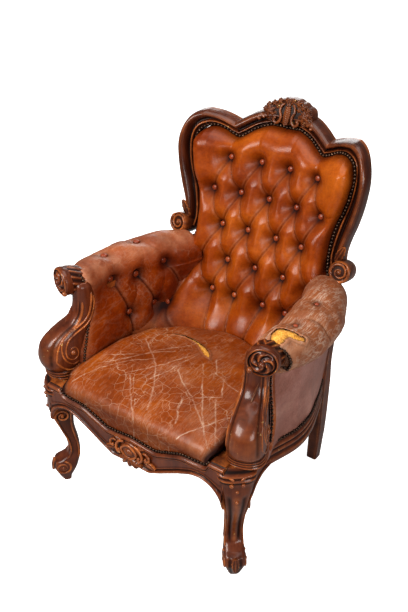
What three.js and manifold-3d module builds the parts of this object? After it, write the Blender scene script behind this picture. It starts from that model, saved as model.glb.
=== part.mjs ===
// A carved salon armchair: show-wood frame, deep padded back and arms, sprung seat on straps.
// Millimetres, +Z up, the chair faces -Y. The left half is the mirror of the right half (+X).
import * as THREE from "three";
import { mergeVertices } from "three/addons/utils/BufferGeometryUtils.js";
import Module from "manifold-3d";

const wasm = await Module();
wasm.setup();

// ---------- driving dimensions ----------
const GAP = 0.3; // clearance between touching pieces
const SKIN = 3; // thickness of leather with its backing
const CREST_FOOT = 1028; // the carved shell in the middle of the crest rises from here
const CREST_HEIGHT = 52;
const CREST_HALF = 86;

const RAIL_BOTTOM = 284;
const RAIL_MOULDING_TOP = 347;
const RAIL_TOP = 384;
const RAIL_THICKNESS = 34;
const COLLAR_TOP = 390;
const STRAP_WIDTH = 50;
const STRAP_THICKNESS = 2.4;

const SEAT_BOTTOM = RAIL_TOP + 2 * (STRAP_THICKNESS + GAP) + 1;
const SEAT_EDGE = 422;
const SEAT_CROWN = 26;

const FRONT_FACE = -347;
const FRONT_RAIL_THICKNESS = 40;
const FRONT_REBATE = 16; // the upper part of the front rail stands back by this, for the leather
const FRONT_RAIL_HALF = 262;

const LEG_TURN = THREE.MathUtils.degToRad(40);
const LEG_CENTRE = new THREE.Vector2(310, -290);
const POST_TURN = THREE.MathUtils.degToRad(20);
const POST_CENTRE = new THREE.Vector2(318, -250);

const BACK_BASE_Z = 630; // height at which the back frame's face is BACK_BASE_Y behind the origin
const BACK_BASE_Y = 300;
const BACK_RAKE = 0.33;
const BACK_CURVE = 0.22e-3; // hollow of the back in plan, at the base
const BACK_CURVE_GROWTH = 2.2e-6; // how fast it gets deeper with height
const BACK_FRAME_THICKNESS = 32;
const BACK_PADDING = 40;
const NAIL_ROW = 9;
const NAIL_HEIGHT = 3;

// ---------- materials ----------
const wood = (color) => new THREE.MeshStandardMaterial({ color, roughness: 0.3, metalness: 0 });
const leather = (color) => new THREE.MeshStandardMaterial({ color, roughness: 0.4, metalness: 0 });
const foamFinish = (color) => new THREE.MeshStandardMaterial({ color, roughness: 0.95, metalness: 0 });
const brass = (color) => new THREE.MeshStandardMaterial({ color, roughness: 0.4, metalness: 0.9 });

// ---------- solids ----------
// A closed geometry as a solid, turned to face outwards.
function solidOf(geometry) {
  const bare = geometry.clone();
  bare.deleteAttribute("normal");
  bare.deleteAttribute("uv");
  const merged = mergeVertices(bare, 1e-4);
  const triVerts = new Uint32Array(merged.index.array);
  const vertProperties = new Float32Array(merged.attributes.position.array);
  const make = () => new wasm.Manifold(new wasm.Mesh({ numProp: 3, vertProperties, triVerts }));
  const first = make();
  if (first.volume() > 0) return first;
  for (let i = 0; i < triVerts.length; i += 3) {
    const second = triVerts[i + 1];
    triVerts[i + 1] = triVerts[i + 2];
    triVerts[i + 2] = second;
  }
  return make();
}

// The triangles that close a flat loop of points, as index triples.
function capTriangles(loop) {
  const normal = new THREE.Vector3();
  loop.forEach((point, i) => {
    normal.add(new THREE.Vector3().crossVectors(point, loop[(i + 1) % loop.length]));
  });
  const size = normal.toArray().map(Math.abs);
  const dropped = size.indexOf(Math.max(...size));
  const kept = ["x", "y", "z"].filter((_, i) => i !== dropped);
  const flat = loop.map((point) => new THREE.Vector2(point[kept[0]], point[kept[1]]));
  const reversed = THREE.ShapeUtils.isClockWise(flat);
  const faces = THREE.ShapeUtils.triangulateShape(reversed ? [...flat].reverse() : flat, []);
  const place = (i) => (reversed ? loop.length - 1 - i : i);
  return faces.map(([a, b, c]) => (reversed ? [place(c), place(b), place(a)] : [a, b, c]));
}

// A closed solid over a row of loops of Vector3, all of the same length.
function loft(loops) {
  const count = loops[0].length;
  const last = (loops.length - 1) * count;
  const triangles = [];
  for (let row = 0; row < loops.length - 1; row += 1) {
    for (let i = 0; i < count; i += 1) {
      const a = row * count + i;
      const b = row * count + ((i + 1) % count);
      triangles.push(a, b, b + count, a, b + count, a + count);
    }
  }
  capTriangles(loops[0]).forEach(([a, b, c]) => triangles.push(c, b, a));
  capTriangles(loops[0]).forEach(([a, b, c]) => triangles.push(last + a, last + b, last + c));
  const geometry = new THREE.BufferGeometry();
  const positions = loops.flat().flatMap((point) => point.toArray());
  geometry.setAttribute("position", new THREE.Float32BufferAttribute(positions, 3));
  geometry.setIndex(triangles);
  return solidOf(geometry);
}

const mirrored = (solid) => solid.mirror([1, 0, 0]);
const largest = (solid) => solid.decompose().sort((a, b) => b.volume() - a.volume())[0];

// The solid with each of the others cut away, and the clearance round them.
function clear(solid, ...others) {
  const steps = [[0, 0, 0], [GAP, GAP, GAP], [GAP, -GAP, -GAP], [-GAP, GAP, -GAP], [-GAP, -GAP, GAP]];
  let rest = solid;
  others.forEach((other) => {
    steps.forEach((step) => {
      rest = rest.subtract(other.translate(step));
    });
  });
  return largest(rest);
}

function box(x0, x1, y0, y1, z0, z1) {
  const geometry = new THREE.BoxGeometry(x1 - x0, y1 - y0, z1 - z0);
  geometry.translate((x0 + x1) / 2, (y0 + y1) / 2, (z0 + z1) / 2);
  return solidOf(geometry);
}

// An outline in X and Z, pushed through from y0 to y1.
function plate(outline, y0, y1) {
  const shape = new THREE.Shape(outline);
  const geometry = new THREE.ExtrudeGeometry(shape, { depth: y1 - y0, bevelEnabled: false });
  geometry.rotateX(Math.PI / 2);
  geometry.translate(0, y1, 0);
  return solidOf(geometry);
}

const points2 = (list) => list.map(([a, b]) => new THREE.Vector2(a, b));
const smooth = (list, count) => new THREE.SplineCurve(points2(list)).getPoints(count);

// The value at t of a list of [t, value] pairs, straight between them.
function along(list, t) {
  if (t <= list[0][0]) return list[0][1];
  const next = list.findIndex(([at]) => at >= t);
  if (next < 0) return list[list.length - 1][1];
  const [t0, v0] = list[next - 1];
  const [t1, v1] = list[next];
  return v0 + ((v1 - v0) * (t - t0)) / (t1 - t0);
}

// A rounded section of count points, with half sizes a and b.
function roundSection(a, b, count) {
  return Array.from({ length: count }, (_, i) => {
    const angle = ((i + 0.5) / count) * 2 * Math.PI;
    const bend = (value) => Math.sign(value) * Math.abs(value) ** 0.7;
    return new THREE.Vector2(a * bend(Math.cos(angle)), b * bend(Math.sin(angle)));
  });
}

// A carved upright: rows of [front s, front z, rear s, rear z, width], s measured forward and out
// from the centre along a direction turned from straight ahead.
function carvedUpright(centre, turn, rows, count) {
  const forward = new THREE.Vector2(Math.sin(turn), -Math.cos(turn));
  const side = new THREE.Vector2(Math.cos(turn), Math.sin(turn));
  return loft(
    rows.map(([frontS, frontZ, rearS, rearZ, width]) => {
      const middle = new THREE.Vector2((frontS + rearS) / 2, (frontZ + rearZ) / 2);
      const reach = new THREE.Vector2(frontS - rearS, frontZ - rearZ);
      const depth = reach.length() / 2;
      reach.normalize();
      return roundSection(depth, width / 2, count).map(({ x, y }) => {
        const s = middle.x + reach.x * x;
        return new THREE.Vector3(
          centre.x + forward.x * s + side.x * y,
          centre.y + forward.y * s + side.y * y,
          middle.y + reach.y * x,
        );
      });
    }),
  );
}

// A strip along a plan path: the section's points are [outwards from the path, height].
function planSweep(path, section) {
  return loft(
    path.map((at, i) => {
      const before = path[Math.max(i - 1, 0)];
      const after = path[Math.min(i + 1, path.length - 1)];
      const run = after.clone().sub(before).normalize();
      return section.map(([out, z]) => new THREE.Vector3(at.x + run.y * out, at.y - run.x * out, z));
    }),
  );
}

// ---------- the back's face ----------
const backY = (x, z) => {
  const rise = z - BACK_BASE_Z;
  const hollow = BACK_CURVE + BACK_CURVE_GROWTH * Math.max(rise, 0);
  return BACK_BASE_Y + BACK_RAKE * rise - hollow * x * x;
};

// A strip that follows the back's face: path in X and Z, section points [share of the width, forward].
function backSweep(path, widthAt, section) {
  return loft(
    path.map((at, i) => {
      const before = path[Math.max(i - 1, 0)];
      const after = path[Math.min(i + 1, path.length - 1)];
      const run = after.clone().sub(before).normalize();
      const width = widthAt(i / (path.length - 1));
      return section.map(([share, forward]) => {
        const x = at.x + run.y * share * width;
        const z = at.y - run.x * share * width;
        return new THREE.Vector3(x, backY(x, z) - forward, z);
      });
    }),
  );
}

// ---------- front rail: serpentine lower edge, cartouche in the middle ----------
const apronLower = [[0, 258], [60, 256], [90, 268], [130, 290], [175, 312], [222, 330], [250, 322],
  [262, 306]];
const apronUpper = [[0, 342], [80, 336], [125, 352], [175, 370], [262, 375]];

function bothHalves(list) {
  const right = smooth(list, 14);
  const left = right.slice(1).map((point) => new THREE.Vector2(-point.x, point.y));
  return [...left.reverse(), ...right];
}

function frontRail() {
  const face = plate([...bothHalves(apronLower), ...bothHalves(apronUpper).reverse()],
    FRONT_FACE, FRONT_FACE + FRONT_RAIL_THICKNESS);
  const upper = plate(points2([[-FRONT_RAIL_HALF, 320], [FRONT_RAIL_HALF, 320], [FRONT_RAIL_HALF, RAIL_TOP],
    [-FRONT_RAIL_HALF, RAIL_TOP]]), FRONT_FACE + FRONT_REBATE, FRONT_FACE + FRONT_RAIL_THICKNESS);
  const boss = new THREE.SphereGeometry(1, 16, 8);
  boss.scale(34, 12, 30);
  boss.translate(0, FRONT_FACE + 4, 304);
  const leaf = new THREE.SphereGeometry(1, 14, 8);
  leaf.scale(52, 14, 22);
  leaf.translate(0, FRONT_FACE + 8, 262);
  return face.add(upper).add(solidOf(boss)).add(solidOf(leaf));
}

// ---------- legs ----------
// Rows of the cabriole leg, from the floor up: peg, scroll toe, ankle, knee, neck, collar block.
const legRows = [
  [22, 0, -1, 0, 28],
  [31, 14, -4, 16, 36],
  [41, 36, -14, 36, 50],
  [50, 60, -25, 60, 64],
  [45, 80, -31, 78, 62],
  [22, 92, -34, 88, 58],
  [2, 106, -37, 104, 55],
  [-4, 128, -38, 124, 53],
  [-1, 155, -36, 152, 52],
  [9, 185, -31, 182, 53],
  [21, 215, -27, 215, 55],
  [34, 252, -28, 248, 64],
  [41, 286, -32, 286, 76],
  [34, 312, -36, 312, 84],
  [20, 328, -38, 328, 88],
  [38, 338, -44, 338, 104],
  [38, 372, -44, 372, 114],
  [40, COLLAR_TOP, -46, COLLAR_TOP, 122],
];

// Rows of the rear leg and its upright: [x, y, z, half width, half depth].
const rearRows = [
  [264, 244, 0, 17, 17],
  [274, 228, 80, 18, 19],
  [283, 214, 160, 19, 21],
  [287, 205, 250, 20, 23],
  [286, 208, 330, 20, 23],
  [282, 220, 400, 18, 18],
  [274, 252, 490, 17, 16],
  [262, 288, 590, 15, 14],
];

function rearLeg() {
  return loft(
    rearRows.map(([x, y, z, across, deep]) =>
      roundSection(across, deep, 12).map((point) => new THREE.Vector3(x + point.x, y + point.y, z)),
    ),
  );
}

// ---------- arm post ----------
const postRows = [
  [55, COLLAR_TOP + GAP, -34, COLLAR_TOP + GAP, 96],
  [70, 428, -38, 428, 100],
  [76, 458, -43, 458, 100],
  [70, 490, -53, 488, 96],
  [52, 514, -62, 512, 88],
  [20, 535, -74, 530, 76],
  [-18, 554, -84, 548, 66],
  [-38, 580, -96, 576, 62],
  [-42, 608, -100, 605, 62],
  [-34, 633, -99, 628, 70],
  [-1, 655, -95, 648, 82],
  [9, 674, -88, 668, 90],
  [0, 694, -80, 690, 88],
  [-22, 706, -66, 708, 70],
];

// ---------- side and rear rails ----------
const sideRailPath = [[300, -262], [326, -150], [353, -50], [350, 30], [325, 118], [292, 212]];
const railSection = [
  [0, RAIL_BOTTOM],
  [3, 298],
  [-3, 312],
  [1, 324],
  [-4, RAIL_MOULDING_TOP],
  [-9, RAIL_MOULDING_TOP + 1],
  [-9, RAIL_TOP],
  [-RAIL_THICKNESS, RAIL_TOP],
  [-RAIL_THICKNESS, RAIL_BOTTOM],
];

// ---------- back frame ----------
// Middle line of the right stile, from the scroll end up and over the shoulder to the valley.
const stilePath = [
  [262, 640],
  [252, 680],
  [254, 735],
  [266, 805],
  [284, 870],
  [292, 925],
  [286, 968],
  [264, 997],
  [232, 1004],
  [196, 998],
  [152, 980],
];
const stileWidth = [[0, 36], [0.15, 42], [0.5, 44], [0.75, 42], [0.9, 32], [1, 34]];
const crestPath = [[146, 979], [118, 998], [86, 1014], [50, 1026], [0, 1030]];
const frameSection = [[-0.5, 2], [-0.28, 8], [-0.05, 3], [0.2, 10], [0.42, 8], [0.5, -4],
  [0.5, -BACK_FRAME_THICKNESS], [-0.5, -BACK_FRAME_THICKNESS]];

function scrollEnd(x, z, radius) {
  const face = backY(x, z);
  const disc = new THREE.CylinderGeometry(radius, radius, 60, 20);
  disc.translate(x, face - 10, z);
  return solidOf(disc);
}

function stile() {
  const strip = backSweep(smooth(stilePath, 26), (t) => along(stileWidth, t), frameSection);
  return strip.add(scrollEnd(282, 672, 26));
}

// The crest: two rising arms that meet under a carved shell.
function crestRail() {
  const right = smooth(crestPath, 12);
  const left = right.slice(0, -1).map((point) => new THREE.Vector2(-point.x, point.y));
  const path = [...right, ...left.reverse()];
  const arms = backSweep(path, () => 38, frameSection);
  const outline = [];
  const lobes = 7;
  const steps = 42;
  for (let i = 0; i <= steps; i += 1) {
    const angle = (i / steps) * Math.PI;
    const swell = 1 + 0.05 * Math.abs(Math.sin((lobes * angle) / 2));
    const x = CREST_HALF * Math.cos(angle) * swell;
    outline.push(new THREE.Vector2(x, CREST_FOOT + (CREST_HEIGHT / 1.05) * Math.sin(angle) * swell));
  }
  const face = backY(0, CREST_FOOT + CREST_HEIGHT / 2);
  const shell = plate(outline, face - 18, face + BACK_FRAME_THICKNESS - 4);
  return arms.add(shell);
}

// ---------- back padding ----------
// The padded back has a middle part down to the seat, and a wing on each side under the shoulders.
const PADDING_HALF = 221;
const PADDING_STATIONS = [0, 45, 90, 134, 180];
const paddingTop = [[0, 990], [60, 989], [104, 970], [134, 948], [170, 957], [210, 972], [236, 968],
  [250, 950], [257, 925]];
const wingBottom = [[216, 790], [229, 802], [243, 850], [257, 900]];

// How far back the padding's face stands, at the seat and above it.
function paddingFaceY(x, z) {
  const high = backY(x, z) - BACK_PADDING;
  const low = 158 - 3.2e-3 * x * x;
  const share = THREE.MathUtils.smoothstep(z, 400, 540);
  return low + (high - low) * share;
}

// One upright section of the padding: its face, eased back at the top, then its rear.
function paddingLoop(x, bottom, rows, { grow, rear, trim }, set) {
  const top = along(paddingTop, x) - trim;
  const heights = Array.from({ length: rows + 1 }, (_, i) => bottom + ((top - bottom) * i) / rows);
  const face = heights.map((z, i) => {
    const ease = i === rows ? 14 : 0;
    return new THREE.Vector3(x, paddingFaceY(x, z) + ease + set - grow, z);
  });
  const behind = heights.reverse().map((z) => new THREE.Vector3(x, backY(x, z) + rear, z));
  return [...face, ...behind];
}

// grow moves the face forward, rear sets how far the solid reaches behind the frame's face, and trim
// draws the edges in.
function backSolid(shape) {
  const { trim } = shape;
  const stations = [...PADDING_STATIONS, PADDING_HALF - trim];
  const middle = loft(stations.map((x) => paddingLoop(x, SEAT_BOTTOM + trim, 8, shape, 0)));
  const wing = loft(wingBottom.map(([x, z], i) => {
    const drawnIn = i === wingBottom.length - 1 ? trim : 0;
    return paddingLoop(x - drawnIn, z + trim, 3, shape, (x - 216) / 2);
  }));
  const right = middle.add(wing);
  return right.add(mirrored(right));
}

// ---------- seat ----------
// The seat's outline in plan: square corners in front, a horseshoe behind.
function seatOutline(grow) {
  const front = FRONT_FACE + FRONT_REBATE - grow;
  const sides = [[0, front], [226 + grow, front], [244 + grow, front + 20], [244 + grow, -118],
    [236 + grow, -52], [222 + grow, -17 + grow]];
  const behind = PADDING_STATIONS.map((x) => [x, paddingFaceY(x, SEAT_BOTTOM) - 2 * SKIN - 1.5 + grow]);
  const half = [...sides, ...behind.reverse()];
  const right = points2(half);
  const left = right.slice(1, -1).map((point) => new THREE.Vector2(-point.x, point.y));
  return [...right, ...left.reverse()];
}

// The domed seat: rings that draw in towards the crown.
function seatSolid(grow, bottom) {
  const outline = seatOutline(grow);
  const middle = -90;
  const top = SEAT_EDGE - 14 + grow;
  const rings = [[1, bottom], [1, top], [0.985, top + 8], [0.95, top + 14], [0.8, top + 22],
    [0.55, top + 12 + SEAT_CROWN], [0.25, top + 15 + SEAT_CROWN], [0.05, top + 16 + SEAT_CROWN]];
  return loft(
    rings.map(([share, z]) =>
      outline.map(({ x, y }) => new THREE.Vector3(x * share, middle + (y - middle) * share, z)),
    ),
  );
}

// ---------- arm padding ----------
// The roll: [y, centre x, centre z, radius].
const rollRows = [
  [-176, 318, 650, 46],
  [-115, 324, 640, 57],
  [-50, 325, 629, 65],
  [15, 320, 620, 71],
  [80, 309, 613, 74],
  [145, 293, 606, 74],
  [205, 272, 601, 71],
  [240, 258, 600, 68],
];
const innerWall = [[-176, 252], [-100, 252], [-20, 240], [60, 228], [240, 228]];
const WALL_THICKNESS = 58;

function armSolid(grow, bottom) {
  return loft(
    rollRows.map(([y, centreX, centreZ, radius], row) => {
      const inner = along(innerWall, y) - grow;
      const outer = inner + WALL_THICKNESS + 2 * grow;
      const reach = radius + grow;
      const end = row === 0 ? y - grow : row === rollRows.length - 1 ? y + grow : y;
      const loop = [[inner, bottom], [inner, 500], [Math.min(inner, centreX - reach + 2), centreZ - 12]];
      const steps = 11;
      for (let i = 0; i <= steps; i += 1) {
        const angle = Math.PI - (i / steps) * (Math.PI * 1.28);
        loop.push([centreX + reach * Math.cos(angle), centreZ + reach * Math.sin(angle)]);
      }
      loop.push([outer + 4, centreZ - radius * 0.72 - grow], [outer, 500], [outer, bottom]);
      return loop.map(([x, z]) => new THREE.Vector3(x, end, z));
    }),
  );
}

// The outside of the arm, a thin upright panel that follows the bowed rail.
function outsideArmPanel() {
  const thin = 3.5;
  const path = smooth(sideRailPath, 12).filter((point) => point.y > -215);
  return loft(
    path.map(({ x, y }) => {
      const foot = x - 4;
      const head = along(rollRows.map((row) => [row[0], row[1]]), y) + 26;
      return [[foot, RAIL_MOULDING_TOP + 2], [foot - 1, 420], [(foot + head) / 2 + 3, 500], [head, 572],
        [head - thin, 572], [(foot + head) / 2 + 3 - thin, 500], [foot - 1 - thin, 420],
        [foot - thin, RAIL_MOULDING_TOP + 2]].map(([px, pz]) => new THREE.Vector3(px, y, pz));
    }),
  );
}

// The outside of the back, a thin panel behind the frame: [height, half width] from the top down.
const BACK_PANEL_SET = BACK_FRAME_THICKNESS + 10; // how far its outer face stands behind the frame's face
const BACK_PANEL_LOW_Y = 262; // it hangs straight down from where its slope reaches this
const backPanelRows = [[985, 240], [940, 268], [860, 262], [780, 248], [700, 236], [620, 240], [520, 252],
  [430, 262], [352, 262]];

function outsideBackPanel() {
  const columns = 8;
  return loft(
    backPanelRows.map(([z, reach]) => {
      const xs = Array.from({ length: columns + 1 }, (_, i) => -reach + (2 * reach * i) / columns);
      const outer = xs.map((x) => {
        const slope = backY(x, z) + BACK_PANEL_SET;
        return new THREE.Vector3(x, z < BACK_BASE_Z ? Math.max(slope, BACK_PANEL_LOW_Y) : slope, z);
      });
      const inner = outer.map(({ x, y }) => new THREE.Vector3(x, y - SKIN, z));
      return [...outer, ...inner.reverse()];
    }),
  );
}

// ---------- nail rows ----------
// A row of close-set domed nails as one beaded strip along a list of Vector3, standing up along a direction.
function nailStrip(path, upAt, width = NAIL_ROW) {
  return loft(
    path.map((at, i) => {
      const before = path[Math.max(i - 1, 0)];
      const after = path[Math.min(i + 1, path.length - 1)];
      const run = after.clone().sub(before).normalize();
      const up = upAt(i).clone();
      up.addScaledVector(run, -up.dot(run)).normalize();
      const side = new THREE.Vector3().crossVectors(run, up);
      return [[-0.5, 0], [-0.32, 0.75], [0, 1], [0.32, 0.75], [0.5, 0]].map(([across, high]) =>
        at.clone().addScaledVector(side, across * width).addScaledVector(up, high * NAIL_HEIGHT));
    }),
  );
}

function backNails() {
  const inner = [[238, 664], [228, 700], [227, 740], [240, 812], [261, 882], [267, 930], [259, 966],
    [236, 981], [200, 981], [152, 958]];
  const right = smooth(inner, 24);
  const centre = smooth([[136, 960], [104, 980], [74, 994], [40, 1003], [0, 1004]], 10);
  const half = [...right, ...centre];
  const left = half.slice(0, -1).map((point) => new THREE.Vector2(-point.x, point.y));
  const path = [...half, ...left.reverse()].map(({ x, y }) => new THREE.Vector3(x, backY(x, y) - 9.5, y));
  return nailStrip(path, () => new THREE.Vector3(0, -1, BACK_RAKE));
}

// One face of the arm post: the row runs up just behind its rear edge. side is 1 outside and -1 inside.
function postNails(side) {
  const forward = new THREE.Vector2(Math.sin(POST_TURN), -Math.cos(POST_TURN));
  const across = new THREE.Vector2(Math.cos(POST_TURN), Math.sin(POST_TURN)).multiplyScalar(side);
  const rows = postRows.filter((row) => row[1] > 420 && row[1] < 700);
  const path = rows.map(([, , s, z, width]) => {
    const out = width / 2 - 4;
    return new THREE.Vector3(
      POST_CENTRE.x + forward.x * (s - 3) + across.x * out,
      POST_CENTRE.y + forward.y * (s - 3) + across.y * out,
      z,
    );
  });
  return nailStrip(path, () => new THREE.Vector3(across.x, across.y, 0), 7);
}

function frontNails() {
  const line = smooth(apronUpper, 14).map((point) => new THREE.Vector2(point.x, point.y));
  const left = line.slice(1).map((point) => new THREE.Vector2(-point.x, point.y));
  const path = [...left.reverse(), ...line]
    .filter(({ x }) => Math.abs(x) < 244)
    .map(({ x, y }) => new THREE.Vector3(x, FRONT_FACE + FRONT_REBATE - SKIN - 1.2, y + 5.6));
  return nailStrip(path, () => new THREE.Vector3(0, -1, 0));
}

function sideNails() {
  const path = smooth(sideRailPath, 14).filter((point) => point.y > -205 && point.y < 170);
  return nailStrip(
    path.map(({ x, y }) => new THREE.Vector3(x - 2.6, y, RAIL_MOULDING_TOP + 7)),
    () => new THREE.Vector3(1, 0, 0),
  );
}

function rearNails() {
  const path = [-240, -120, 0, 120, 240].map((x) => new THREE.Vector3(x, 263, 358));
  return nailStrip(path, () => new THREE.Vector3(0, 1, 0));
}

// ---------- the pieces, put together ----------
const chair = new THREE.Group();

function add(name, solid, material) {
  const { vertProperties, triVerts, numProp } = largest(solid).getMesh();
  const positions = [];
  for (let i = 0; i < vertProperties.length; i += numProp) {
    positions.push(vertProperties[i], vertProperties[i + 1], vertProperties[i + 2]);
  }
  const geometry = new THREE.BufferGeometry();
  geometry.setAttribute("position", new THREE.Float32BufferAttribute(positions, 3));
  geometry.setIndex(Array.from(triVerts));
  geometry.computeVertexNormals();
  const mesh = new THREE.Mesh(geometry, material);
  mesh.name = name;
  chair.add(mesh);
}

function addPair(name, solid, material) {
  add(`${name}_right`, solid, material);
  add(`${name}_left`, mirrored(solid), material);
}

const both = (solid) => [solid, mirrored(solid)];

const mahogany = wood(0x4a1c0e);
const beech = wood(0xa9794a);
const tanLeather = leather(0xa4501f);
const seatLeather = leather(0xa8532a);
const sideLeather = leather(0x7a3420);
const foam = foamFinish(0xd98a25);
const webbing = foamFinish(0x3a3632);
const cloth = foamFinish(0x1c1a1a);
const bronze = brass(0x4f3a22);

// frame
const leg = carvedUpright(LEG_CENTRE, LEG_TURN, legRows, 12);
const post = carvedUpright(POST_CENTRE, POST_TURN, postRows, 12);
const rearUpright = rearLeg();
const rail = frontRail();
const sideRail = clear(planSweep(smooth(sideRailPath, 12), railSection), leg, rail, rearUpright);
const backFrame = stile();
const crest = clear(crestRail(), ...both(backFrame));
const uprightCut = clear(rearUpright, backFrame);
addPair("front_leg", leg, mahogany);
addPair("arm_post", post, mahogany);
addPair("rear_leg", uprightCut, mahogany);
addPair("side_rail", sideRail, mahogany);
addPair("back_stile", backFrame, mahogany);
add("crest_rail", crest, mahogany);
add("front_rail", clear(rail, ...both(leg)), mahogany);
const rearRail = box(-280, 280, 200, 236, RAIL_BOTTOM, RAIL_TOP);
add("rear_rail", clear(rearRail, ...both(rearUpright), ...both(sideRail)), mahogany);

// hidden frame
const armRail = clear(loft([[294, -170, 604], [296, 30, 590], [276, 290, 585]].map(([x, y, z]) =>
  [[-13, -18], [13, -18], [13, 18], [-13, 18]].map(([dx, dz]) => new THREE.Vector3(x + dx, y, z + dz)))),
  post, rearUpright, backFrame);
addPair("arm_rail", armRail, beech);
const lowerBackRail = clear(box(-280, 280, 244, 258, 450, 500), ...both(rearUpright));
add("lower_back_rail", lowerBackRail, beech);
const blockOutline = (points, z0, z1) =>
  loft([z0, z1].map((z) => points.map(([x, y]) => new THREE.Vector3(x, y, z))));
const frontBlock = clear(blockOutline([[225, -306], [276, -306], [290, -200], [276, -200]], 300, 372),
  leg, rail, sideRail);
const rearBlock = clear(blockOutline([[278, 130], [294, 130], [262, 199], [200, 199]], 300, 372),
  rearUpright, sideRail, rearRail);
addPair("front_corner_block", frontBlock, beech);
addPair("rear_corner_block", rearBlock, beech);

// seat suspension: straps front to back, and straps side to side over them
const lowerStrap = RAIL_TOP + GAP;
[-165, -55, 55, 165].forEach((x, i) => {
  add(`seat_strap_${i + 1}`, box(x - STRAP_WIDTH / 2, x + STRAP_WIDTH / 2, FRONT_FACE + 22, 228, lowerStrap,
    lowerStrap + STRAP_THICKNESS), webbing);
});
const upperStrap = lowerStrap + STRAP_THICKNESS + GAP;
[[-170, 292], [-50, 322], [70, 314]].forEach(([y, half], i) => {
  add(`seat_cross_strap_${i + 1}`, box(-half, half, y - STRAP_WIDTH / 2, y + STRAP_WIDTH / 2, upperStrap,
    upperStrap + STRAP_THICKNESS), webbing);
});

// back suspension: straps across the back frame, behind the padding
const backStrap = (z, half) => {
  const columns = 12;
  const behind = BACK_FRAME_THICKNESS + 1.8;
  return loft([z - STRAP_WIDTH / 2, z + STRAP_WIDTH / 2].map((height) => {
    const xs = Array.from({ length: columns + 1 }, (_, i) => -half + (2 * half * i) / columns);
    const front = xs.map((x) => new THREE.Vector3(x, backY(x, height) + behind, height));
    const rear = xs.map((x) => new THREE.Vector3(x, backY(x, height) + behind + STRAP_THICKNESS, height));
    return [...front, ...rear.reverse()];
  }));
};
[[690, 250], [800, 280], [905, 300]].forEach(([z, half], i) => {
  add(`back_strap_${i + 1}`, backStrap(z, half), webbing);
});

// padding
const hidden = [...both(rearUpright), ...both(backFrame)];
add("back_foam", clear(backSolid({ grow: 0, rear: 30, trim: 0 }), ...hidden, lowerBackRail), foam);
const coverOutside = backSolid({ grow: SKIN, rear: 2, trim: 0.5 });
const coverInside = backSolid({ grow: GAP, rear: 40, trim: 0 });
const backCover = clear(coverOutside.subtract(coverInside), ...hidden);
add("back_cover", backCover, tanLeather);
const backRoom = backSolid({ grow: SKIN + 5 * GAP, rear: 40, trim: -2 * GAP });
const armBottom = SEAT_BOTTOM + 0.6;
const armFoam = clear(armSolid(0, armBottom).subtract(backRoom), post, rearUpright, backFrame, armRail,
  lowerBackRail);
const hollow = armSolid(GAP, armBottom - 2).add(box(262, 420, -260, 300, armBottom - 2, 582)).add(backRoom);
const armCover = clear(armSolid(SKIN, armBottom).subtract(hollow), post, rearUpright, backFrame, armRail);
addPair("arm_foam", armFoam, foam);
addPair("arm_cover", armCover, tanLeather);
add("seat_foam", seatSolid(0, SEAT_BOTTOM), foam);
const seatCover = seatSolid(SKIN, SEAT_BOTTOM).subtract(seatSolid(GAP, SEAT_BOTTOM - 2));
add("seat_cover", seatCover, seatLeather);

// outside covers
const armPanel = clear(outsideArmPanel(), leg, post, sideRail, armFoam, armCover, rearUpright);
addPair("outside_arm_panel", armPanel, sideLeather);
const backPanel = outsideBackPanel();
add("outside_back_panel", backPanel, sideLeather);
const dustSheet = blockOutline([[-262, -300], [262, -300], [312, -50], [308, 30], [250, 225], [-250, 225],
  [-308, 30], [-312, -50]], RAIL_BOTTOM - GAP - 1.5, RAIL_BOTTOM - GAP);
add("dust_cover", clear(dustSheet, ...both(leg), ...both(rearUpright)), cloth);

// nails
const padded = backSolid({ grow: SKIN, rear: 30, trim: 0 });
add("back_nails", clear(backNails(), ...both(backFrame), crest, padded), bronze);
add("front_nails", clear(frontNails(), rail, ...both(leg)), bronze);
addPair("inner_post_nails", clear(postNails(-1), post, armFoam, armCover, seatCover, armRail), bronze);
addPair("outer_post_nails", clear(postNails(1), post, armFoam, armCover, armPanel, armRail), bronze);
const sideRow = clear(sideNails(), sideRail, armPanel, leg, post);
addPair("side_nails", sideRow, bronze);
add("rear_nails", clear(rearNails(), backPanel, rearRail), bronze);

// the origin is under the middle of the whole chair, on the floor
const extent = new THREE.Box3().setFromObject(chair);
chair.position.set(0, -(extent.min.y + extent.max.y) / 2, -extent.min.z);

export default chair;
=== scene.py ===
import math

import bmesh
import bpy
import numpy as np
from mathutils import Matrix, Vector


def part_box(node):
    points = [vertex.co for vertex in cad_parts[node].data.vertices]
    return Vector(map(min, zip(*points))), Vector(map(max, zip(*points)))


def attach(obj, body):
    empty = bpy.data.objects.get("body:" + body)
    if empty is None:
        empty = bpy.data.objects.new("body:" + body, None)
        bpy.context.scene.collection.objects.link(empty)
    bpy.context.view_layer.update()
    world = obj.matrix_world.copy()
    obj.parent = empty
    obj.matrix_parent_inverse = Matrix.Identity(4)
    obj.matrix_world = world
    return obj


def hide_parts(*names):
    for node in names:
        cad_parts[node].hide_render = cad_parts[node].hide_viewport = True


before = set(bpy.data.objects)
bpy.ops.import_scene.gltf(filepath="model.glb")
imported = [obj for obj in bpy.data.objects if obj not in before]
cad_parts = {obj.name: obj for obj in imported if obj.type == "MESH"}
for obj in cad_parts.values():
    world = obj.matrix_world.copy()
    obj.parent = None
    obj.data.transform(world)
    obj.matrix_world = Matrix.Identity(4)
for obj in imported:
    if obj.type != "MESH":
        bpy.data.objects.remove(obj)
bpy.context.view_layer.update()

# Tables below are millimetres in the chair's own frame: X to the right as seen from the front,
# Y to the rear, Z up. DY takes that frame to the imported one, from where the front rail lies.
FRONT_RAIL_REAR = -307.0
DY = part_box("front_rail")[1][1] * 1000.0 - FRONT_RAIL_REAR
BODY = "root"
SIDES = {1: "right", -1: "left"}


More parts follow.
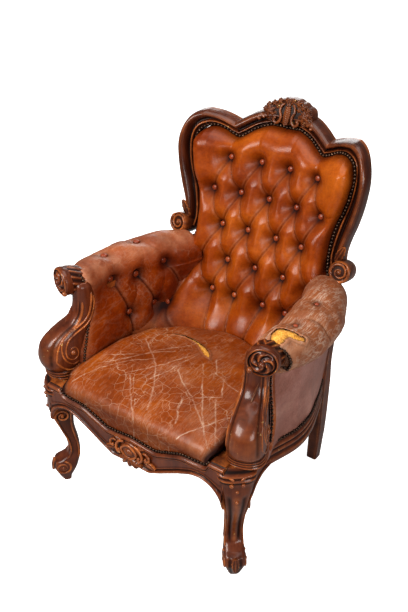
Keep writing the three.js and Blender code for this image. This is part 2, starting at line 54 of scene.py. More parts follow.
# ---------------------------------------------------------------- mesh helpers


class Solid:
    """Collects closed parts, with a painted-shade, a wear-and-highlight and a line value for each vertex."""

    def __init__(self):
        self.v, self.f, self.cav, self.wear, self.line, self.count = [], [], [], [], [], 0

    def add(self, verts, faces, cav=0.0, wear=0.0, line=0.0):
        verts = np.asarray(verts, float).reshape(-1, 3)
        self.v.append(verts)
        for f in faces:
            self.f += (np.asarray(f, int) + self.count).tolist()
        for kept, value in ((self.cav, cav), (self.wear, wear), (self.line, line)):
            kept.append(np.broadcast_to(np.asarray(value, float).ravel(), (len(verts),)))
        self.count += len(verts)

    def absorb(self, other):
        """Takes over the parts of another solid."""
        self.v += other.v
        self.cav += other.cav
        self.wear += other.wear
        self.line += other.line
        for corners in (4, 3):
            self.f += (np.asarray([f for f in other.f if len(f) == corners]) + self.count).tolist()
        self.count += other.count

    def mirrored(self):
        """The same parts reflected in the chair's middle plane."""
        other = Solid()
        other.v = [v * [-1, 1, 1] for v in self.v]
        other.f = [f[::-1] for f in self.f]
        other.cav, other.wear, other.line = self.cav[:], self.wear[:], self.line[:]
        other.count = self.count
        return other


def piece(name, solid, material, replaces=(), flat_angle=None):
    """Makes the Blender object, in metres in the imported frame, and ties it to the CAD."""
    mesh = bpy.data.meshes.new(name)
    verts = np.concatenate(solid.v)
    verts = (verts + [0, DY, 0]) * 0.001
    mesh.from_pydata(verts.tolist(), [], solid.f)
    # Per-vertex values: painted shade in creases, hollows, joints and undersides; wear with painted
    # highlight; split lines.
    for key, values in (("cav", solid.cav), ("wear", solid.wear), ("line", solid.line)):
        layer = mesh.attributes.new(key, "FLOAT", "POINT")
        layer.data.foreach_set("value", np.concatenate(values).astype(np.float32))
    work = bmesh.new()
    work.from_mesh(mesh)
    bmesh.ops.recalc_face_normals(work, faces=work.faces)
    work.to_mesh(mesh)
    work.free()
    mesh.polygons.foreach_set("use_smooth", [True] * len(mesh.polygons))
    if flat_angle:
        mesh.set_sharp_from_angle(angle=math.radians(flat_angle))
    mesh.materials.append(material)
    obj = bpy.data.objects.new(name, mesh)
    bpy.context.scene.collection.objects.link(obj)
    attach(obj, BODY)
    if replaces:
        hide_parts(*replaces)
    return obj


def side_piece(sign, label, solid, material, node, flat_angle):
    """A show-wood piece drawn for the right side; sign -1 makes its reflection on the left."""
    if sign < 0:
        solid = solid.mirrored()
    side = SIDES[sign]
    return piece(label + side, solid, material, (node + side,), flat_angle)


def quads(nu, nv, wrap=False):
    """The faces of a grid of points; wrap joins the last column to the first."""
    u, v = np.meshgrid(np.arange(nu - 1), np.arange(nv if wrap else nv - 1), indexing="ij")
    u1, v1 = (u + 1) % nu, (v + 1) % nv
    return np.stack([u * nv + v, u1 * nv + v, u1 * nv + v1, u * nv + v1], -1).reshape(-1, 4)


def grid_rim(nu, nv):
    """The indices round the edge of a grid of points."""
    idx = np.arange(nu * nv).reshape(nu, nv)
    return np.concatenate([idx[:, 0], idx[-1, 1:], idx[-2::-1, -1], idx[0, -2:0:-1]])


def fan(ring, centre, flip=False):
    """Triangles from a ring of points to its centre."""
    ring = np.asarray(ring)
    tris = np.stack([ring, np.roll(ring, -1), np.full(len(ring), centre)], 1)
    return tris[:, ::-1] if flip else tris


def tube(solid, rings, cav=0.0, wear=0.0):
    """A closed skin over rings of points (n, m, 3), with both ends capped."""
    n, m, _ = rings.shape
    ends = np.array([rings[0].mean(0), rings[-1].mean(0)])
    verts = np.concatenate([rings.reshape(-1, 3), ends])
    faces = [
        quads(n, m, wrap=True),
        fan(np.arange(m), n * m, True),
        fan(np.arange(m) + (n - 1) * m, n * m + 1),
    ]

    def spread(value):
        value = np.asarray(value, float)
        if value.ndim == 0:
            return np.full(n * m + 2, float(value))
        value = np.broadcast_to(value if value.ndim == 2 else value[:, None], (n, m))
        return np.concatenate([value.ravel(), [value[0].mean(), value[-1].mean()]])

    solid.add(verts, faces, spread(cav), spread(wear))


def turned(centre, axis, side, up, profile, radius, sides, tilt=0.0):
    """Rings of a turned shape; profile holds (share of the radius, height along the axis)."""
    a = np.linspace(0, 2 * np.pi, sides, endpoint=False) + tilt
    ring = np.cos(a)[:, None] * side + np.sin(a)[:, None] * up
    return np.array([centre + h * axis + r * radius * ring for r, h in profile])


def slab(solid, front, rear, keep=None, cav=0.0, wear=0.0, line=0.0):
    """A grid surface closed behind: its rim goes to the rim of rear, which a fan closes."""
    nu, nv, _ = front.shape
    rim = grid_rim(nu, nv)
    back = rear.reshape(-1, 3)[rim]
    m = len(rim)
    base = nu * nv
    verts = np.concatenate([front.reshape(-1, 3), back, [back.mean(0)]])
    faces = quads(nu, nv)
    if keep is not None:
        faces = faces[keep.ravel()]
    ring = np.arange(m)
    side = np.stack([rim, np.roll(rim, -1), base + np.roll(ring, -1), base + ring], 1)

    def spread(value):
        value = np.asarray(value, float)
        flat = np.broadcast_to(value, (nu, nv)).ravel() if value.ndim else np.full(base, float(value))
        return np.concatenate([flat, flat[rim], [flat.mean()]])

    solid.add(
        verts, [faces, side[:, ::-1], fan(base + ring, base + m)], spread(cav), spread(wear), spread(line)
    )


def unit(v):
    """The vectors at length 1."""
    return v / np.maximum(np.linalg.norm(v, axis=-1, keepdims=True), 1e-9)


def curve(points, n, closed=False):
    """A centripetal-like Catmull-Rom curve through the points, at n even steps."""
    p = np.asarray(points, float)
    if closed:
        p = np.concatenate([p[-1:], p, p[:2]])
    else:
        p = np.concatenate([2 * p[:1] - p[1:2], p, 2 * p[-1:] - p[-2:-1]])
    out = []
    for i in range(1, len(p) - 2):
        t = np.linspace(0, 1, 24, endpoint=False)[:, None]
        a, b, c, d = p[i - 1], p[i], p[i + 1], p[i + 2]
        square, cube = 2 * a - 5 * b + 4 * c - d, 3 * b - a - 3 * c + d
        out.append(0.5 * (2 * b + (c - a) * t + square * t**2 + cube * t**3))
    out = np.concatenate(out + [p[-2:-1]])
    return resample(out, n)


def basis(normal, hint):
    """The unit normal and two directions square to it; hint fixes how they turn."""
    normal = unit(np.asarray(normal, float))
    side = unit(np.cross(normal, hint))
    return normal, side, np.cross(side, normal)


def resample(line, n):
    """The line at n even steps of its length."""
    step = np.linalg.norm(np.diff(line, axis=0), axis=1)
    s = np.concatenate([[0], np.cumsum(step)])
    t = np.linspace(0, s[-1], n)
    return np.stack([np.interp(t, s, line[:, k]) for k in range(line.shape[1])], 1)


def table(rows, key, at):
    """Smooth interpolation of the columns of rows against column key."""
    rows = np.asarray(rows, float)
    order = np.argsort(rows[:, key])
    rows = rows[order]
    k = rows[:, key]
    out = []
    for c in range(rows.shape[1]):
        y = rows[:, c]
        d = np.diff(y) / np.diff(k)
        m = np.concatenate([
            d[:1], np.where(d[1:] * d[:-1] > 0, 2 * d[1:] * d[:-1] / (d[1:] + d[:-1] + 1e-12), 0), d[-1:]
        ])
        i = np.clip(np.searchsorted(k, at) - 1, 0, len(k) - 2)
        h = k[i + 1] - k[i]
        t = np.clip((at - k[i]) / h, 0, 1)
        out.append(
            (2 * t**3 - 3 * t**2 + 1) * y[i]
            + (t**3 - 2 * t**2 + t) * h * m[i]
            + (3 * t**2 - 2 * t**3) * y[i + 1]
            + (t**3 - t**2) * h * m[i + 1]
        )
    return np.stack(out, -1)


def bead(solid, path, radius, squash=1.0, normal=None, sides=8, wear=0.3, taper=True):
    """A round moulding along a path. radius may vary; squash flattens it along normal."""
    path = np.asarray(path, float)
    n = len(path)
    tangent = unit(np.gradient(path, axis=0))
    normal = np.asarray([0, -1, 0] if normal is None else normal, float)
    normal = np.broadcast_to(normal, path.shape)
    side = unit(np.cross(tangent, normal))
    up = unit(np.cross(side, tangent))
    r = np.broadcast_to(np.asarray(radius, float), (n,)).copy()
    if taper:
        ease = np.minimum(np.arange(n), np.arange(n)[::-1]) / max(2.0, n * 0.04)
        r = r * np.sqrt(np.clip(ease, 0.04, 1))
    a = np.linspace(0, 2 * np.pi, sides, endpoint=False)
    rings = (
        path[:, None]
        + r[:, None, None] * np.cos(a)[None, :, None] * side[:, None]
        + squash * r[:, None, None] * np.sin(a)[None, :, None] * up[:, None]
    )
    # Painted shade on the side turned away from the carved face; wear and painted highlight on the crown.
    cav = np.broadcast_to(0.1 - 0.35 * np.sin(a), (n, sides)).clip(0, 1)
    tube(solid, rings, cav=cav, wear=np.broadcast_to(wear * np.clip(np.sin(a), 0, 1), (n, sides)))


def noise(x, y, scale, seed, octaves=3):
    """Smooth repeatable noise from -1 to 1, with features of about scale."""
    total, gain, n = 0.0, 1.0, 32
    for k in range(octaves):
        grid = np.random.RandomState(seed + 17 * k).uniform(-1, 1, (n, n))
        u, v = np.asarray(x) / scale, np.asarray(y) / scale
        iu, iv = np.floor(u).astype(int), np.floor(v).astype(int)
        fu, fv = u - iu, v - iv
        fu, fv = fu * fu * (3 - 2 * fu), fv * fv * (3 - 2 * fv)
        g = lambda a, b: grid[(iu + a) % n, (iv + b) % n]
        total = total + gain * (
            (g(0, 0) * (1 - fu) + g(1, 0) * fu) * (1 - fv) + (g(0, 1) * (1 - fu) + g(1, 1) * fu) * fv
        )
        gain, scale = gain * 0.5, scale * 0.5
    return total / 1.75


def smoothstep(x, low, high):
    t = np.clip((x - low) / (high - low), 0, 1)
    return t * t * (3 - 2 * t)


def bell(x, at, width, power=2):
    """1 at the given place, falling smoothly to nothing some two widths away."""
    return np.exp(-(((x - at) / width) ** power))


def rounding(x, radius):
    """A quarter circle's rise from 0 at the edge to 1 at radius."""
    return np.sqrt(1 - (1 - np.clip(x / radius, 0, 1)) ** 2)


def segment_distance(x, z, a, b):
    """How far points lie from the segment between a and b."""
    ax, az, bx, bz = *a, *b
    dx, dz = bx - ax, bz - az
    t = np.clip(((x - ax) * dx + (z - az) * dz) / (dx * dx + dz * dz), 0, 1)
    return np.hypot(x - ax - t * dx, z - az - t * dz)


def polyline_distance(x, y, points):
    """How far points lie from a chain of segments, and how far along it the nearest place is."""
    best = np.full(np.shape(x), 1e9)
    along = np.zeros(np.shape(x))
    for k, (a, b) in enumerate(zip(points[:-1], points[1:])):
        dx, dy = b[0] - a[0], b[1] - a[1]
        t = np.clip(((x - a[0]) * dx + (y - a[1]) * dy) / (dx * dx + dy * dy), 0, 1)
        d = np.hypot(x - a[0] - t * dx, y - a[1] - t * dy)
        along = np.where(d < best, k + t, along)
        best = np.minimum(best, d)
    return best, along


def inside_outline(x, z, outline):
    """True where a point lies inside a closed outline."""
    inside = np.zeros(np.shape(x), bool)
    for (ax, az), (bx, bz) in zip(outline, outline[1:] + outline[:1]):
        crosses = (az > z) != (bz > z)
        inside ^= crosses & (x < ax + (z - az) * (bx - ax) / (bz - az + 1e-9))
    return inside


def tuft(x, z, buttons, pleats, reach, full, level, dimple):
    """Height of tufted leather over its button seats, and how near a pleat or button is.

    pleats are (start, end, strength); level is the share of the height kept along a full pleat."""
    crown = np.ones(np.shape(x))
    pleat = np.full(np.shape(x), 99.0)
    for a, b, strength in pleats:
        d = segment_distance(x, z, a, b)
        rise = rounding(d, reach)
        crown = crown * (1 - strength * (1 - rise))
        pleat = np.minimum(pleat, d + 22.0 * (1 - min(strength, 1.0)))
    to_button = np.min([np.hypot(x - bx, z - bz) for bx, bz in buttons], axis=0)
    height = full * (1 - bell(to_button, 0, dimple, 1.5)) * (level + (1 - level) * crown)
    return height, pleat, to_button


# ---------------------------------------------------------------- materials


class Nodes:
    """A short way to write a procedural material."""

    def __init__(self, name):
        self.material = bpy.data.materials.new(name)
        self.material.use_nodes = True
        self.tree = self.material.node_tree
        self.shader = self.tree.nodes["Principled BSDF"]
        self.coord = self.tree.nodes.new("ShaderNodeTexCoord").outputs["Object"]

    def feed(self, socket, value):
        """Links the output of a node to the socket, or sets a plain value."""
        if isinstance(value, bpy.types.NodeSocket):
            self.tree.links.new(value, socket)
        else:
            socket.default_value = value

    def node(self, kind, inputs=(), **settings):
        made = self.tree.nodes.new(kind)
        for key, value in settings.items():
            setattr(made, key, value)
        for key, value in dict(inputs).items():
            self.feed(made.inputs[key], value)
        return made

    def mapped(self, scale=(1, 1, 1), rotation=(0, 0, 0)):
        inputs = {"Vector": self.coord, "Scale": scale, "Rotation": rotation}
        return self.node("ShaderNodeMapping", inputs).outputs["Vector"]

    def noise(self, scale, detail=4.0, rough=0.55, vector=None, distortion=0.0):
        inputs = {
            "Vector": vector or self.coord,
            "Scale": scale,
            "Detail": detail,
            "Roughness": rough,
            "Distortion": distortion,
        }
        return self.node("ShaderNodeTexNoise", inputs).outputs["Fac"]

    def cells(self, scale, vector=None, feature="DISTANCE_TO_EDGE"):
        inputs = {"Vector": vector or self.coord, "Scale": scale}
        return self.node("ShaderNodeTexVoronoi", inputs, feature=feature).outputs["Distance"]

    def ramp(self, value, stops):
        made = self.node("ShaderNodeValToRGB", {"Fac": value})
        ramp = made.color_ramp
        while len(ramp.elements) < len(stops):
            ramp.elements.new(0.5)
        for element, (at, colour) in zip(ramp.elements, stops):
            element.position = at
            element.color = (*colour, 1) if isinstance(colour, tuple) else (colour, colour, colour, 1)
        return made.outputs["Color"]

    def math(self, operation, a, b=0.0, clamp=False):
        made = self.node("ShaderNodeMath", {0: a, 1: b}, operation=operation, use_clamp=clamp)
        return made.outputs[0]

    def times(self, a, b, clamp=False):
        return self.math("MULTIPLY", a, b, clamp)

    def plus(self, a, b, clamp=False):
        return self.math("ADD", a, b, clamp)

    def mix(self, factor, a, b, blend="MIX"):
        made = self.node("ShaderNodeMix", data_type="RGBA", blend_type=blend)
        for socket, value in (("Factor_Float", factor), ("A_Color", a), ("B_Color", b)):
            target = next(s for s in made.inputs if s.identifier == socket)
            self.feed(target, (*value, 1) if isinstance(value, tuple) else value)
        return next(s for s in made.outputs if s.identifier == "Result_Color")

    def attribute(self, name):
        return self.node("ShaderNodeAttribute", attribute_name=name).outputs["Fac"]

    def bump(self, height, strength, distance, under=None):
        inputs = {"Height": height, "Strength": strength, "Distance": distance}
        if under:
            inputs["Normal"] = under
        return self.node("ShaderNodeBump", inputs).outputs["Normal"]

    def done(self, colour, rough, normal=None, **fixed):
        self.feed(self.shader.inputs["Base Color"], colour)
        self.feed(self.shader.inputs["Roughness"], rough)
        if normal:
            self.feed(self.shader.inputs["Normal"], normal)
        for key, value in fixed.items():
            self.feed(self.shader.inputs[key.replace("_", " ")], value)
        return self.material


PALE_RUB_AND_SHEEN, PALE_CRACKLE = (0.60, 0.34, 0.21), (0.66, 0.47, 0.33)
PALE_SCRATCH, PALE_SPLIT = (0.58, 0.43, 0.34), (0.78, 0.62, 0.48)
LEATHER_SPECULAR, LEATHER_COAT_ROUGH = 0.2, 0.28


def leather(name, light, mid, dark, painted_shade_colour, rough=0.34, coat=0.25, crackle=0.0, scratch=0.0):
    """Aged aniline leather: patchy colour, painted shade in folds and pits, fine grain, crackle or scratches.
    """
    m = Nodes(name)
    patch = m.noise(7.0, 5.0, 0.6)
    fine = m.noise(60.0, 4.0, 0.65)
    colour = m.ramp(m.mix(0.22, patch, fine), [(0.30, dark), (0.50, mid), (0.68, light)])
    speckle = m.ramp(m.noise(170.0, 3.0, 0.6), [(0.36, 0.55), (0.56, 1.0)])
    colour = m.mix(0.35, colour, speckle, "MULTIPLY")
    # Pale rubbed places: mostly wear, with a painted highlight along the seat's front lip.
    rub_and_sheen = m.times(m.attribute("wear"), m.ramp(m.noise(26.0, 5.0, 0.7), [(0.3, 0.25), (0.7, 1.0)]))
    pale = m.mix(0.62, light, PALE_RUB_AND_SHEEN)
    colour = m.mix(m.times(rub_and_sheen, 0.85, True), colour, pale)
    cavity = m.attribute("cav")
    roughness = m.plus(rough - 0.08, m.times(fine, 0.22))
    pores = m.cells(330.0)
    normal = m.bump(m.math("MINIMUM", pores, 0.35), 0.22, 0.0006)
    normal = m.bump(m.noise(38.0, 5.0, 0.62), 0.30, 0.0022, normal)
    if crackle:
        swirl = m.node("ShaderNodeTexNoise", {"Vector": m.coord, "Scale": 14.0, "Detail": 4.0})
        shares = {0: swirl.outputs["Color"], 1: (0.045, 0.045, 0.045)}
        swirl = m.node("ShaderNodeVectorMath", shares, operation="MULTIPLY")
        warp = m.node("ShaderNodeVectorMath", {0: m.coord, 1: swirl.outputs[0]}, operation="ADD").outputs[0]
        lines = m.ramp(m.cells(34.0, warp), [(0.0, 1.0), (0.028, 0.0)])
        fades = m.ramp(m.noise(9.0, 3.0, 0.5), [(0.42, 0.0), (0.62, 1.0)])
        lines = m.times(m.times(lines, fades), crackle, True)
        colour = m.mix(lines, colour, PALE_CRACKLE)
        normal = m.bump(lines, 0.5, 0.0012, normal)
    if scratch:
        lines = 0.0
        for turn, scale in ((0.5, 95.0), (-0.9, 80.0), (1.4, 120.0), (2.4, 100.0)):
            streak = m.noise(scale, 2.0, 0.5, m.mapped((1.0, 0.12, 0.3), (0.4, 0.2, turn)))
            streak = m.ramp(streak, [(0.58, 0.0), (0.61, 1.0), (0.64, 0.0)])
            lines = m.math("MAXIMUM", streak, lines)
        lines = m.times(lines, m.times(m.ramp(patch, [(0.36, 0.15), (0.6, 1.0)]), scratch), True)
        colour = m.mix(m.times(lines, 0.8), colour, PALE_SCRATCH)
        normal = m.bump(lines, 0.3, 0.0006, normal)
        roughness = m.plus(roughness, m.times(lines, 0.2))
    split = m.times(m.attribute("line"), m.ramp(m.noise(60.0, 3.0), [(0.35, 0.25), (0.6, 0.9)]), True)
    colour = m.mix(split, colour, PALE_SPLIT)
    # Painted shade: folds, button pits and joints darkened toward the painted shade colour.
    colour = m.mix(m.ramp(cavity, [(0.05, 0.0), (0.95, 1.0)]), colour, painted_shade_colour)
    roughness = m.plus(roughness, m.times(cavity, 0.3), True)
    gloss = m.times(coat, m.ramp(cavity, [(0.08, 1.0), (0.5, 0.1)]))
    shine = {"Coat_Roughness": LEATHER_COAT_ROUGH, "Specular_IOR_Level": LEATHER_SPECULAR}
    return m.done(colour, roughness, normal, Coat_Weight=gloss, **shine)


WOOD_ROUGH, WOOD_COAT, WOOD_CHIPS = 0.34, 0.5, 0.6
EDGE_RUB_AND_HIGHLIGHT, GILT_SPECK = (0.42, 0.125, 0.028), (0.72, 0.50, 0.20)


def wood(name, light, mid, dark, rubbed=0.8):
    """Carved show wood: fine long grain, painted shade in hollows, paler high edges that are partly worn and
    partly painted highlight, and small chips.
    """
    m = Nodes(name)
    grain = m.noise(34.0, 6.0, 0.62, m.mapped((1.0, 1.0, 0.10)), 0.4)
    broad = m.noise(5.0, 3.0, 0.5)
    colour = m.ramp(m.mix(0.4, grain, broad), [(0.34, dark), (0.52, mid), (0.70, light)])
    edges = m.node("ShaderNodeNewGeometry").outputs["Pointiness"]
    # Sharp high edges, found by pointiness, pale as wear and painted highlight.
    high = m.ramp(edges, [(0.508, 0.0), (0.555, 1.0)])
    low = m.ramp(edges, [(0.45, 1.0), (0.497, 0.0)])
    patches = m.ramp(m.noise(21.0, 5.0, 0.65), [(0.38, 0.1), (0.62, 1.0)])
    # Painted shade in creases found by low pointiness, and in grooves and undersides from the shade
    # attribute.
    colour = m.mix(m.times(low, 0.9), colour, tuple(0.22 * c for c in dark))
    colour = m.mix(m.attribute("cav"), colour, tuple(0.25 * c for c in dark))
    # Paler high edges, scaled by rubbed: partly wear, partly painted highlight.
    rub_and_sheen = m.times(m.times(high, patches), rubbed)
    rub_and_sheen = m.plus(rub_and_sheen, m.times(m.times(m.attribute("wear"), patches), 0.30), True)
    colour = m.mix(rub_and_sheen, colour, EDGE_RUB_AND_HIGHLIGHT)
    spots = m.ramp(m.noise(88.0, 2.0, 0.5), [(0.70, 0.0), (0.73, 1.0)])
    spots = m.times(spots, m.plus(m.attribute("wear"), high, True))
    spots = m.times(spots, WOOD_CHIPS, True)
    colour = m.mix(spots, colour, GILT_SPECK)
    roughness = m.plus(WOOD_ROUGH, m.times(m.noise(50.0, 3.0), 0.16))
    gloss = m.times(WOOD_COAT, m.ramp(m.attribute("cav"), [(0.1, 1.0), (0.7, 0.1)]))
    normal = m.bump(grain, 0.12, 0.0012)
    normal = m.bump(m.noise(120.0, 3.0, 0.6), 0.10, 0.0006, normal)
    return m.done(colour, roughness, normal, Coat_Weight=gloss, Coat_Roughness=0.17, Specular_IOR_Level=0.2)


def plain_wood(name, light, dark):
    """The bare wood of the hidden frame."""
    m = Nodes(name)
    grain = m.noise(30.0, 6.0, 0.6, m.mapped((1.0, 0.15, 1.0)), 0.5)
    colour = m.ramp(grain, [(0.35, dark), (0.68, light)])
    return m.done(colour, 0.7, m.bump(grain, 0.2, 0.001))


def woven(name, light, dark):
    """Plain-woven cloth or jute with stains."""
    m = Nodes(name)
    inputs = {"Vector": m.coord, "Scale": 134.4, "Distortion": 1.0}
    warp, weft = (m.node("ShaderNodeTexWave", inputs, bands_direction=way).outputs["Fac"] for way in "XY")
    threads = m.math("MAXIMUM", warp, weft)
    stain = m.noise(9.0, 4.0, 0.6)
    colour = m.mix(
        m.ramp(stain, [(0.35, 0.0), (0.7, 0.6)]), m.ramp(threads, [(0.2, dark), (0.9, light)]), dark
    )
    return m.done(colour, 0.9, m.bump(threads, 0.4, 0.0006))


def crumbled_foam(name):
    """Old orange foam, pitted, with painted shade where the torn leather overhangs it."""
    m = Nodes(name)
    holes = m.cells(240.0, feature="F1")
    colour = m.ramp(
        m.mix(0.5, m.noise(40.0, 5.0, 0.7), holes),
        [(0.22, (0.42, 0.15, 0.02)), (0.45, (0.84, 0.37, 0.045)), (0.7, (0.95, 0.52, 0.12))]
    )
    # Painted shade under the torn leather's lips.
    colour = m.mix(m.attribute("cav"), colour, (0.16, 0.06, 0.02))
    return m.done(colour, 0.95, m.bump(holes, 0.8, 0.002))


def aged_brass(name):
    """Dark brass with brighter rubbed spots."""
    m = Nodes(name)
    spots = m.noise(210.0, 3.0, 0.6)
    colour = m.ramp(
        spots, [(0.34, (0.030, 0.018, 0.014)), (0.58, (0.085, 0.048, 0.032)), (0.78, (0.26, 0.15, 0.08))]
    )
    # Painted shade round the foot of each nail head.
    colour = m.mix(m.attribute("cav"), colour, (0.02, 0.012, 0.01))
    return m.done(
        colour, m.ramp(spots, [(0.3, 0.5), (0.7, 0.28)]), m.bump(spots, 0.15, 0.0004), Metallic=0.85
    )


BACK_LEATHER = leather(
    "back_leather", (0.42, 0.100, 0.006), (0.285, 0.053, 0.003), (0.145, 0.019, 0.001),
    (0.020, 0.002, 0.001), 0.30, 0.24
)
# Darker base than the back's leather: painted shade for the arm's shaded inner side.
ARM_LEFT_LEATHER = leather(
    "arm_leather_left", (0.36, 0.074, 0.006), (0.24, 0.037, 0.002), (0.12, 0.015, 0.001),
    (0.012, 0.001, 0.001), 0.32, 0.20, crackle=0.2, scratch=0.15
)
ARM_RIGHT_LEATHER = leather(
    "arm_leather_right", (0.40, 0.142, 0.054), (0.26, 0.074, 0.022), (0.15, 0.035, 0.010),
    (0.02, 0.004, 0.002), 0.42, 0.08, crackle=0.45, scratch=1.0
)
SEAT_LEATHER = leather(
    "seat_leather", (0.33, 0.083, 0.008), (0.240, 0.049, 0.004), (0.145, 0.025, 0.002), (0.02, 0.003, 0.001),
    0.36, 0.14, crackle=0.5, scratch=0.25
)
OUTSIDE_LEATHER = leather(
    "outside_leather", (0.42, 0.205, 0.165), (0.31, 0.140, 0.108), (0.20, 0.076, 0.052),
    (0.02, 0.005, 0.003), 0.46, 0.05, scratch=0.12
)
BUTTON_LEATHER = leather(
    "button_leather", (0.42, 0.095, 0.025), (0.28, 0.045, 0.012), (0.14, 0.018, 0.006), (0.02, 0.003, 0.002),
    0.26, 0.4
)
SHOW_WOOD = wood("show_wood", (0.150, 0.036, 0.009), (0.075, 0.016, 0.005), (0.026, 0.005, 0.002))
LEG_WOOD = wood("leg_wood", (0.190, 0.046, 0.012), (0.100, 0.021, 0.006), (0.038, 0.007, 0.002))
INNER_WOOD = plain_wood("inner_wood", (0.40, 0.25, 0.13), (0.22, 0.13, 0.06))
WEBBING = woven("webbing", (0.42, 0.33, 0.20), (0.22, 0.16, 0.09))
DUST_CLOTH = woven("dust_cloth", (0.09, 0.085, 0.08), (0.03, 0.028, 0.026))
CREST_WOOD = wood(
    "crest_wood", (0.120, 0.028, 0.007), (0.060, 0.013, 0.004), (0.022, 0.004, 0.002), rubbed=0.35
)
FOAM = crumbled_foam("foam")
NAIL_BRASS = aged_brass("nail_brass")


# ---------------------------------------------------------------- the back


def back_y(x, z):
    """The Y of the plane that the back's frame lies on, raked and bowed."""
    return 300 + 0.33 * (z - 630) - (0.22e-3 + 2.2e-6 * np.maximum(z - 630, 0)) * x**2


SEAT_BOW = 3.2e-3
# The half width of the back's leather as (height, half width), and its top edge as (x, height).
BACK_HALF = [
    [380, 262], [450, 262], [560, 256], [620, 252], [640, 240], [661, 229], [692, 225], [739, 225],
    [770, 229], [800, 236], [832, 248], [862, 257], [895, 263], [925, 267], [960, 267], [1010, 267],
]
BACK_TOP = [
    [0, 1001], [45, 1004], [60, 1000], [82, 992], [104, 980], [124, 966], [141, 957], [150, 957],
    [162, 963], [185, 975], [211, 983], [234, 981], [252, 968], [261, 950], [267, 925],
]
BACK_WIDEST, BACK_LOW = 267, 384.0
# Buttons as (x, height), and pleats between them as (start, end, strength).
BACK_RIGHT_BUTTONS = [
    (149, 903), (49, 903), (186, 806), (97, 806), (140, 704), (50, 704),
    (196, 591), (100, 602), (134, 504), (52, 504),
]
BACK_MIDDLE_BUTTONS = [(0, 806), (0, 602)]
BACK_RIGHT_PLEATS = [
    ((49, 903), (0, 806), 1), ((49, 903), (97, 806), 1), ((149, 903), (97, 806), 1),
    ((149, 903), (186, 806), 1),
    ((0, 806), (50, 704), 1), ((97, 806), (50, 704), 1), ((97, 806), (140, 704), 1),
    ((186, 806), (140, 704), 1),
    ((50, 704), (0, 602), 1), ((50, 704), (100, 602), 1), ((140, 704), (100, 602), 1),
    ((140, 704), (196, 591), 1),
    ((0, 602), (52, 504), 1), ((100, 602), (52, 504), 1), ((100, 602), (134, 504), 1),
    ((196, 591), (134, 504), 1),
    ((49, 903), (56, 1010), 0.35), ((149, 903), (146, 962), 0.45), ((186, 806), (236, 826), 0.45),
    ((196, 591), (250, 640), 0.6), ((52, 504), (30, 392), 1), ((134, 504), (90, 392), 1),
    ((196, 591), (232, 470), 0.8), ((232, 470), (150, 392), 1), ((246, 480), (203, 392), 0.9),
]
# The pinched hips of the back, low on each side where arm and back meet.
BACK_HIPS = [(232, 470), (-232, 470)]
BUTTON_SEAT = 20.0
BACK_FULL = 46.0
PLEAT_REACH, BUTTON_DIMPLE = 46.0, 27.0
mirror_points = lambda points: [(-x, z) for x, z in points]
mirror_pleats = lambda pleats: [((-a, b), (-c, d), s) for (a, b), (c, d), s in pleats]
BACK_BUTTONS = BACK_RIGHT_BUTTONS + mirror_points(BACK_RIGHT_BUTTONS) + BACK_MIDDLE_BUTTONS + BACK_HIPS
BACK_PLEATS = BACK_RIGHT_PLEATS + mirror_pleats(BACK_RIGHT_PLEATS)


def back_surface(x, z, edge):
    """The Y of the back's leather at x, z; edge is the distance to the nailed edge."""
    height, pleat, button = tuft(x, z, BACK_BUTTONS, BACK_PLEATS, PLEAT_REACH, BACK_FULL, 0.60, BUTTON_DIMPLE)
    round_off = rounding(edge, 42.0)
    fold = noise(x, z, 46, 3, 2) * 2.6 + noise(x * 3.0, z, 15, 5, 2) * 0.9 * np.exp(-pleat / 22)
    rays = np.sin(np.arctan2(x, z) * 40 + noise(x, z, 30, 9) * 3) * 0.5 * np.exp(-button / 26)
    out = (BUTTON_SEAT + height + (fold + rays) * smoothstep(pleat, 1, 12)) * round_off
    out = out + 2.0 * (1 - round_off)
    seat_line = 158 - SEAT_BOW * x**2
    blend = smoothstep(z, 384, 478 + 66 * smoothstep(np.abs(x), 110, 215))
    y = (seat_line + 26 - (out - BUTTON_SEAT) * 0.8) * (1 - blend) + (back_y(x, z) - out) * blend
    # Painted shade in pleats, round the buttons, low at the sides where the arms meet the back, and along the
    # nailed edge.
    cav = np.exp(-pleat / 1.8) * 0.24 + bell(button, 0, 14.0) * 0.7 + 0.20 * np.exp(-pleat / 9.0)
    cav = cav + 0.30 * smoothstep(np.abs(x), 130, 200) * (1 - smoothstep(z, 430, 500))
    cav = cav + 0.28 * bell(button, 0, 32.0)
    cav = cav + 0.5 * (1 - smoothstep(edge, 0, 12))
    wear = bell(pleat, 5.0, 2.0) * smoothstep(button, 14, 30) * 0.35 * smoothstep(edge, 4, 15)
    return y, np.clip(cav, 0, 1), wear


def interp(rows, at):
    """Straight-line interpolation of the second column of rows against the first."""
    rows = np.asarray(rows, float)
    return np.interp(at, rows[:, 0], rows[:, 1])


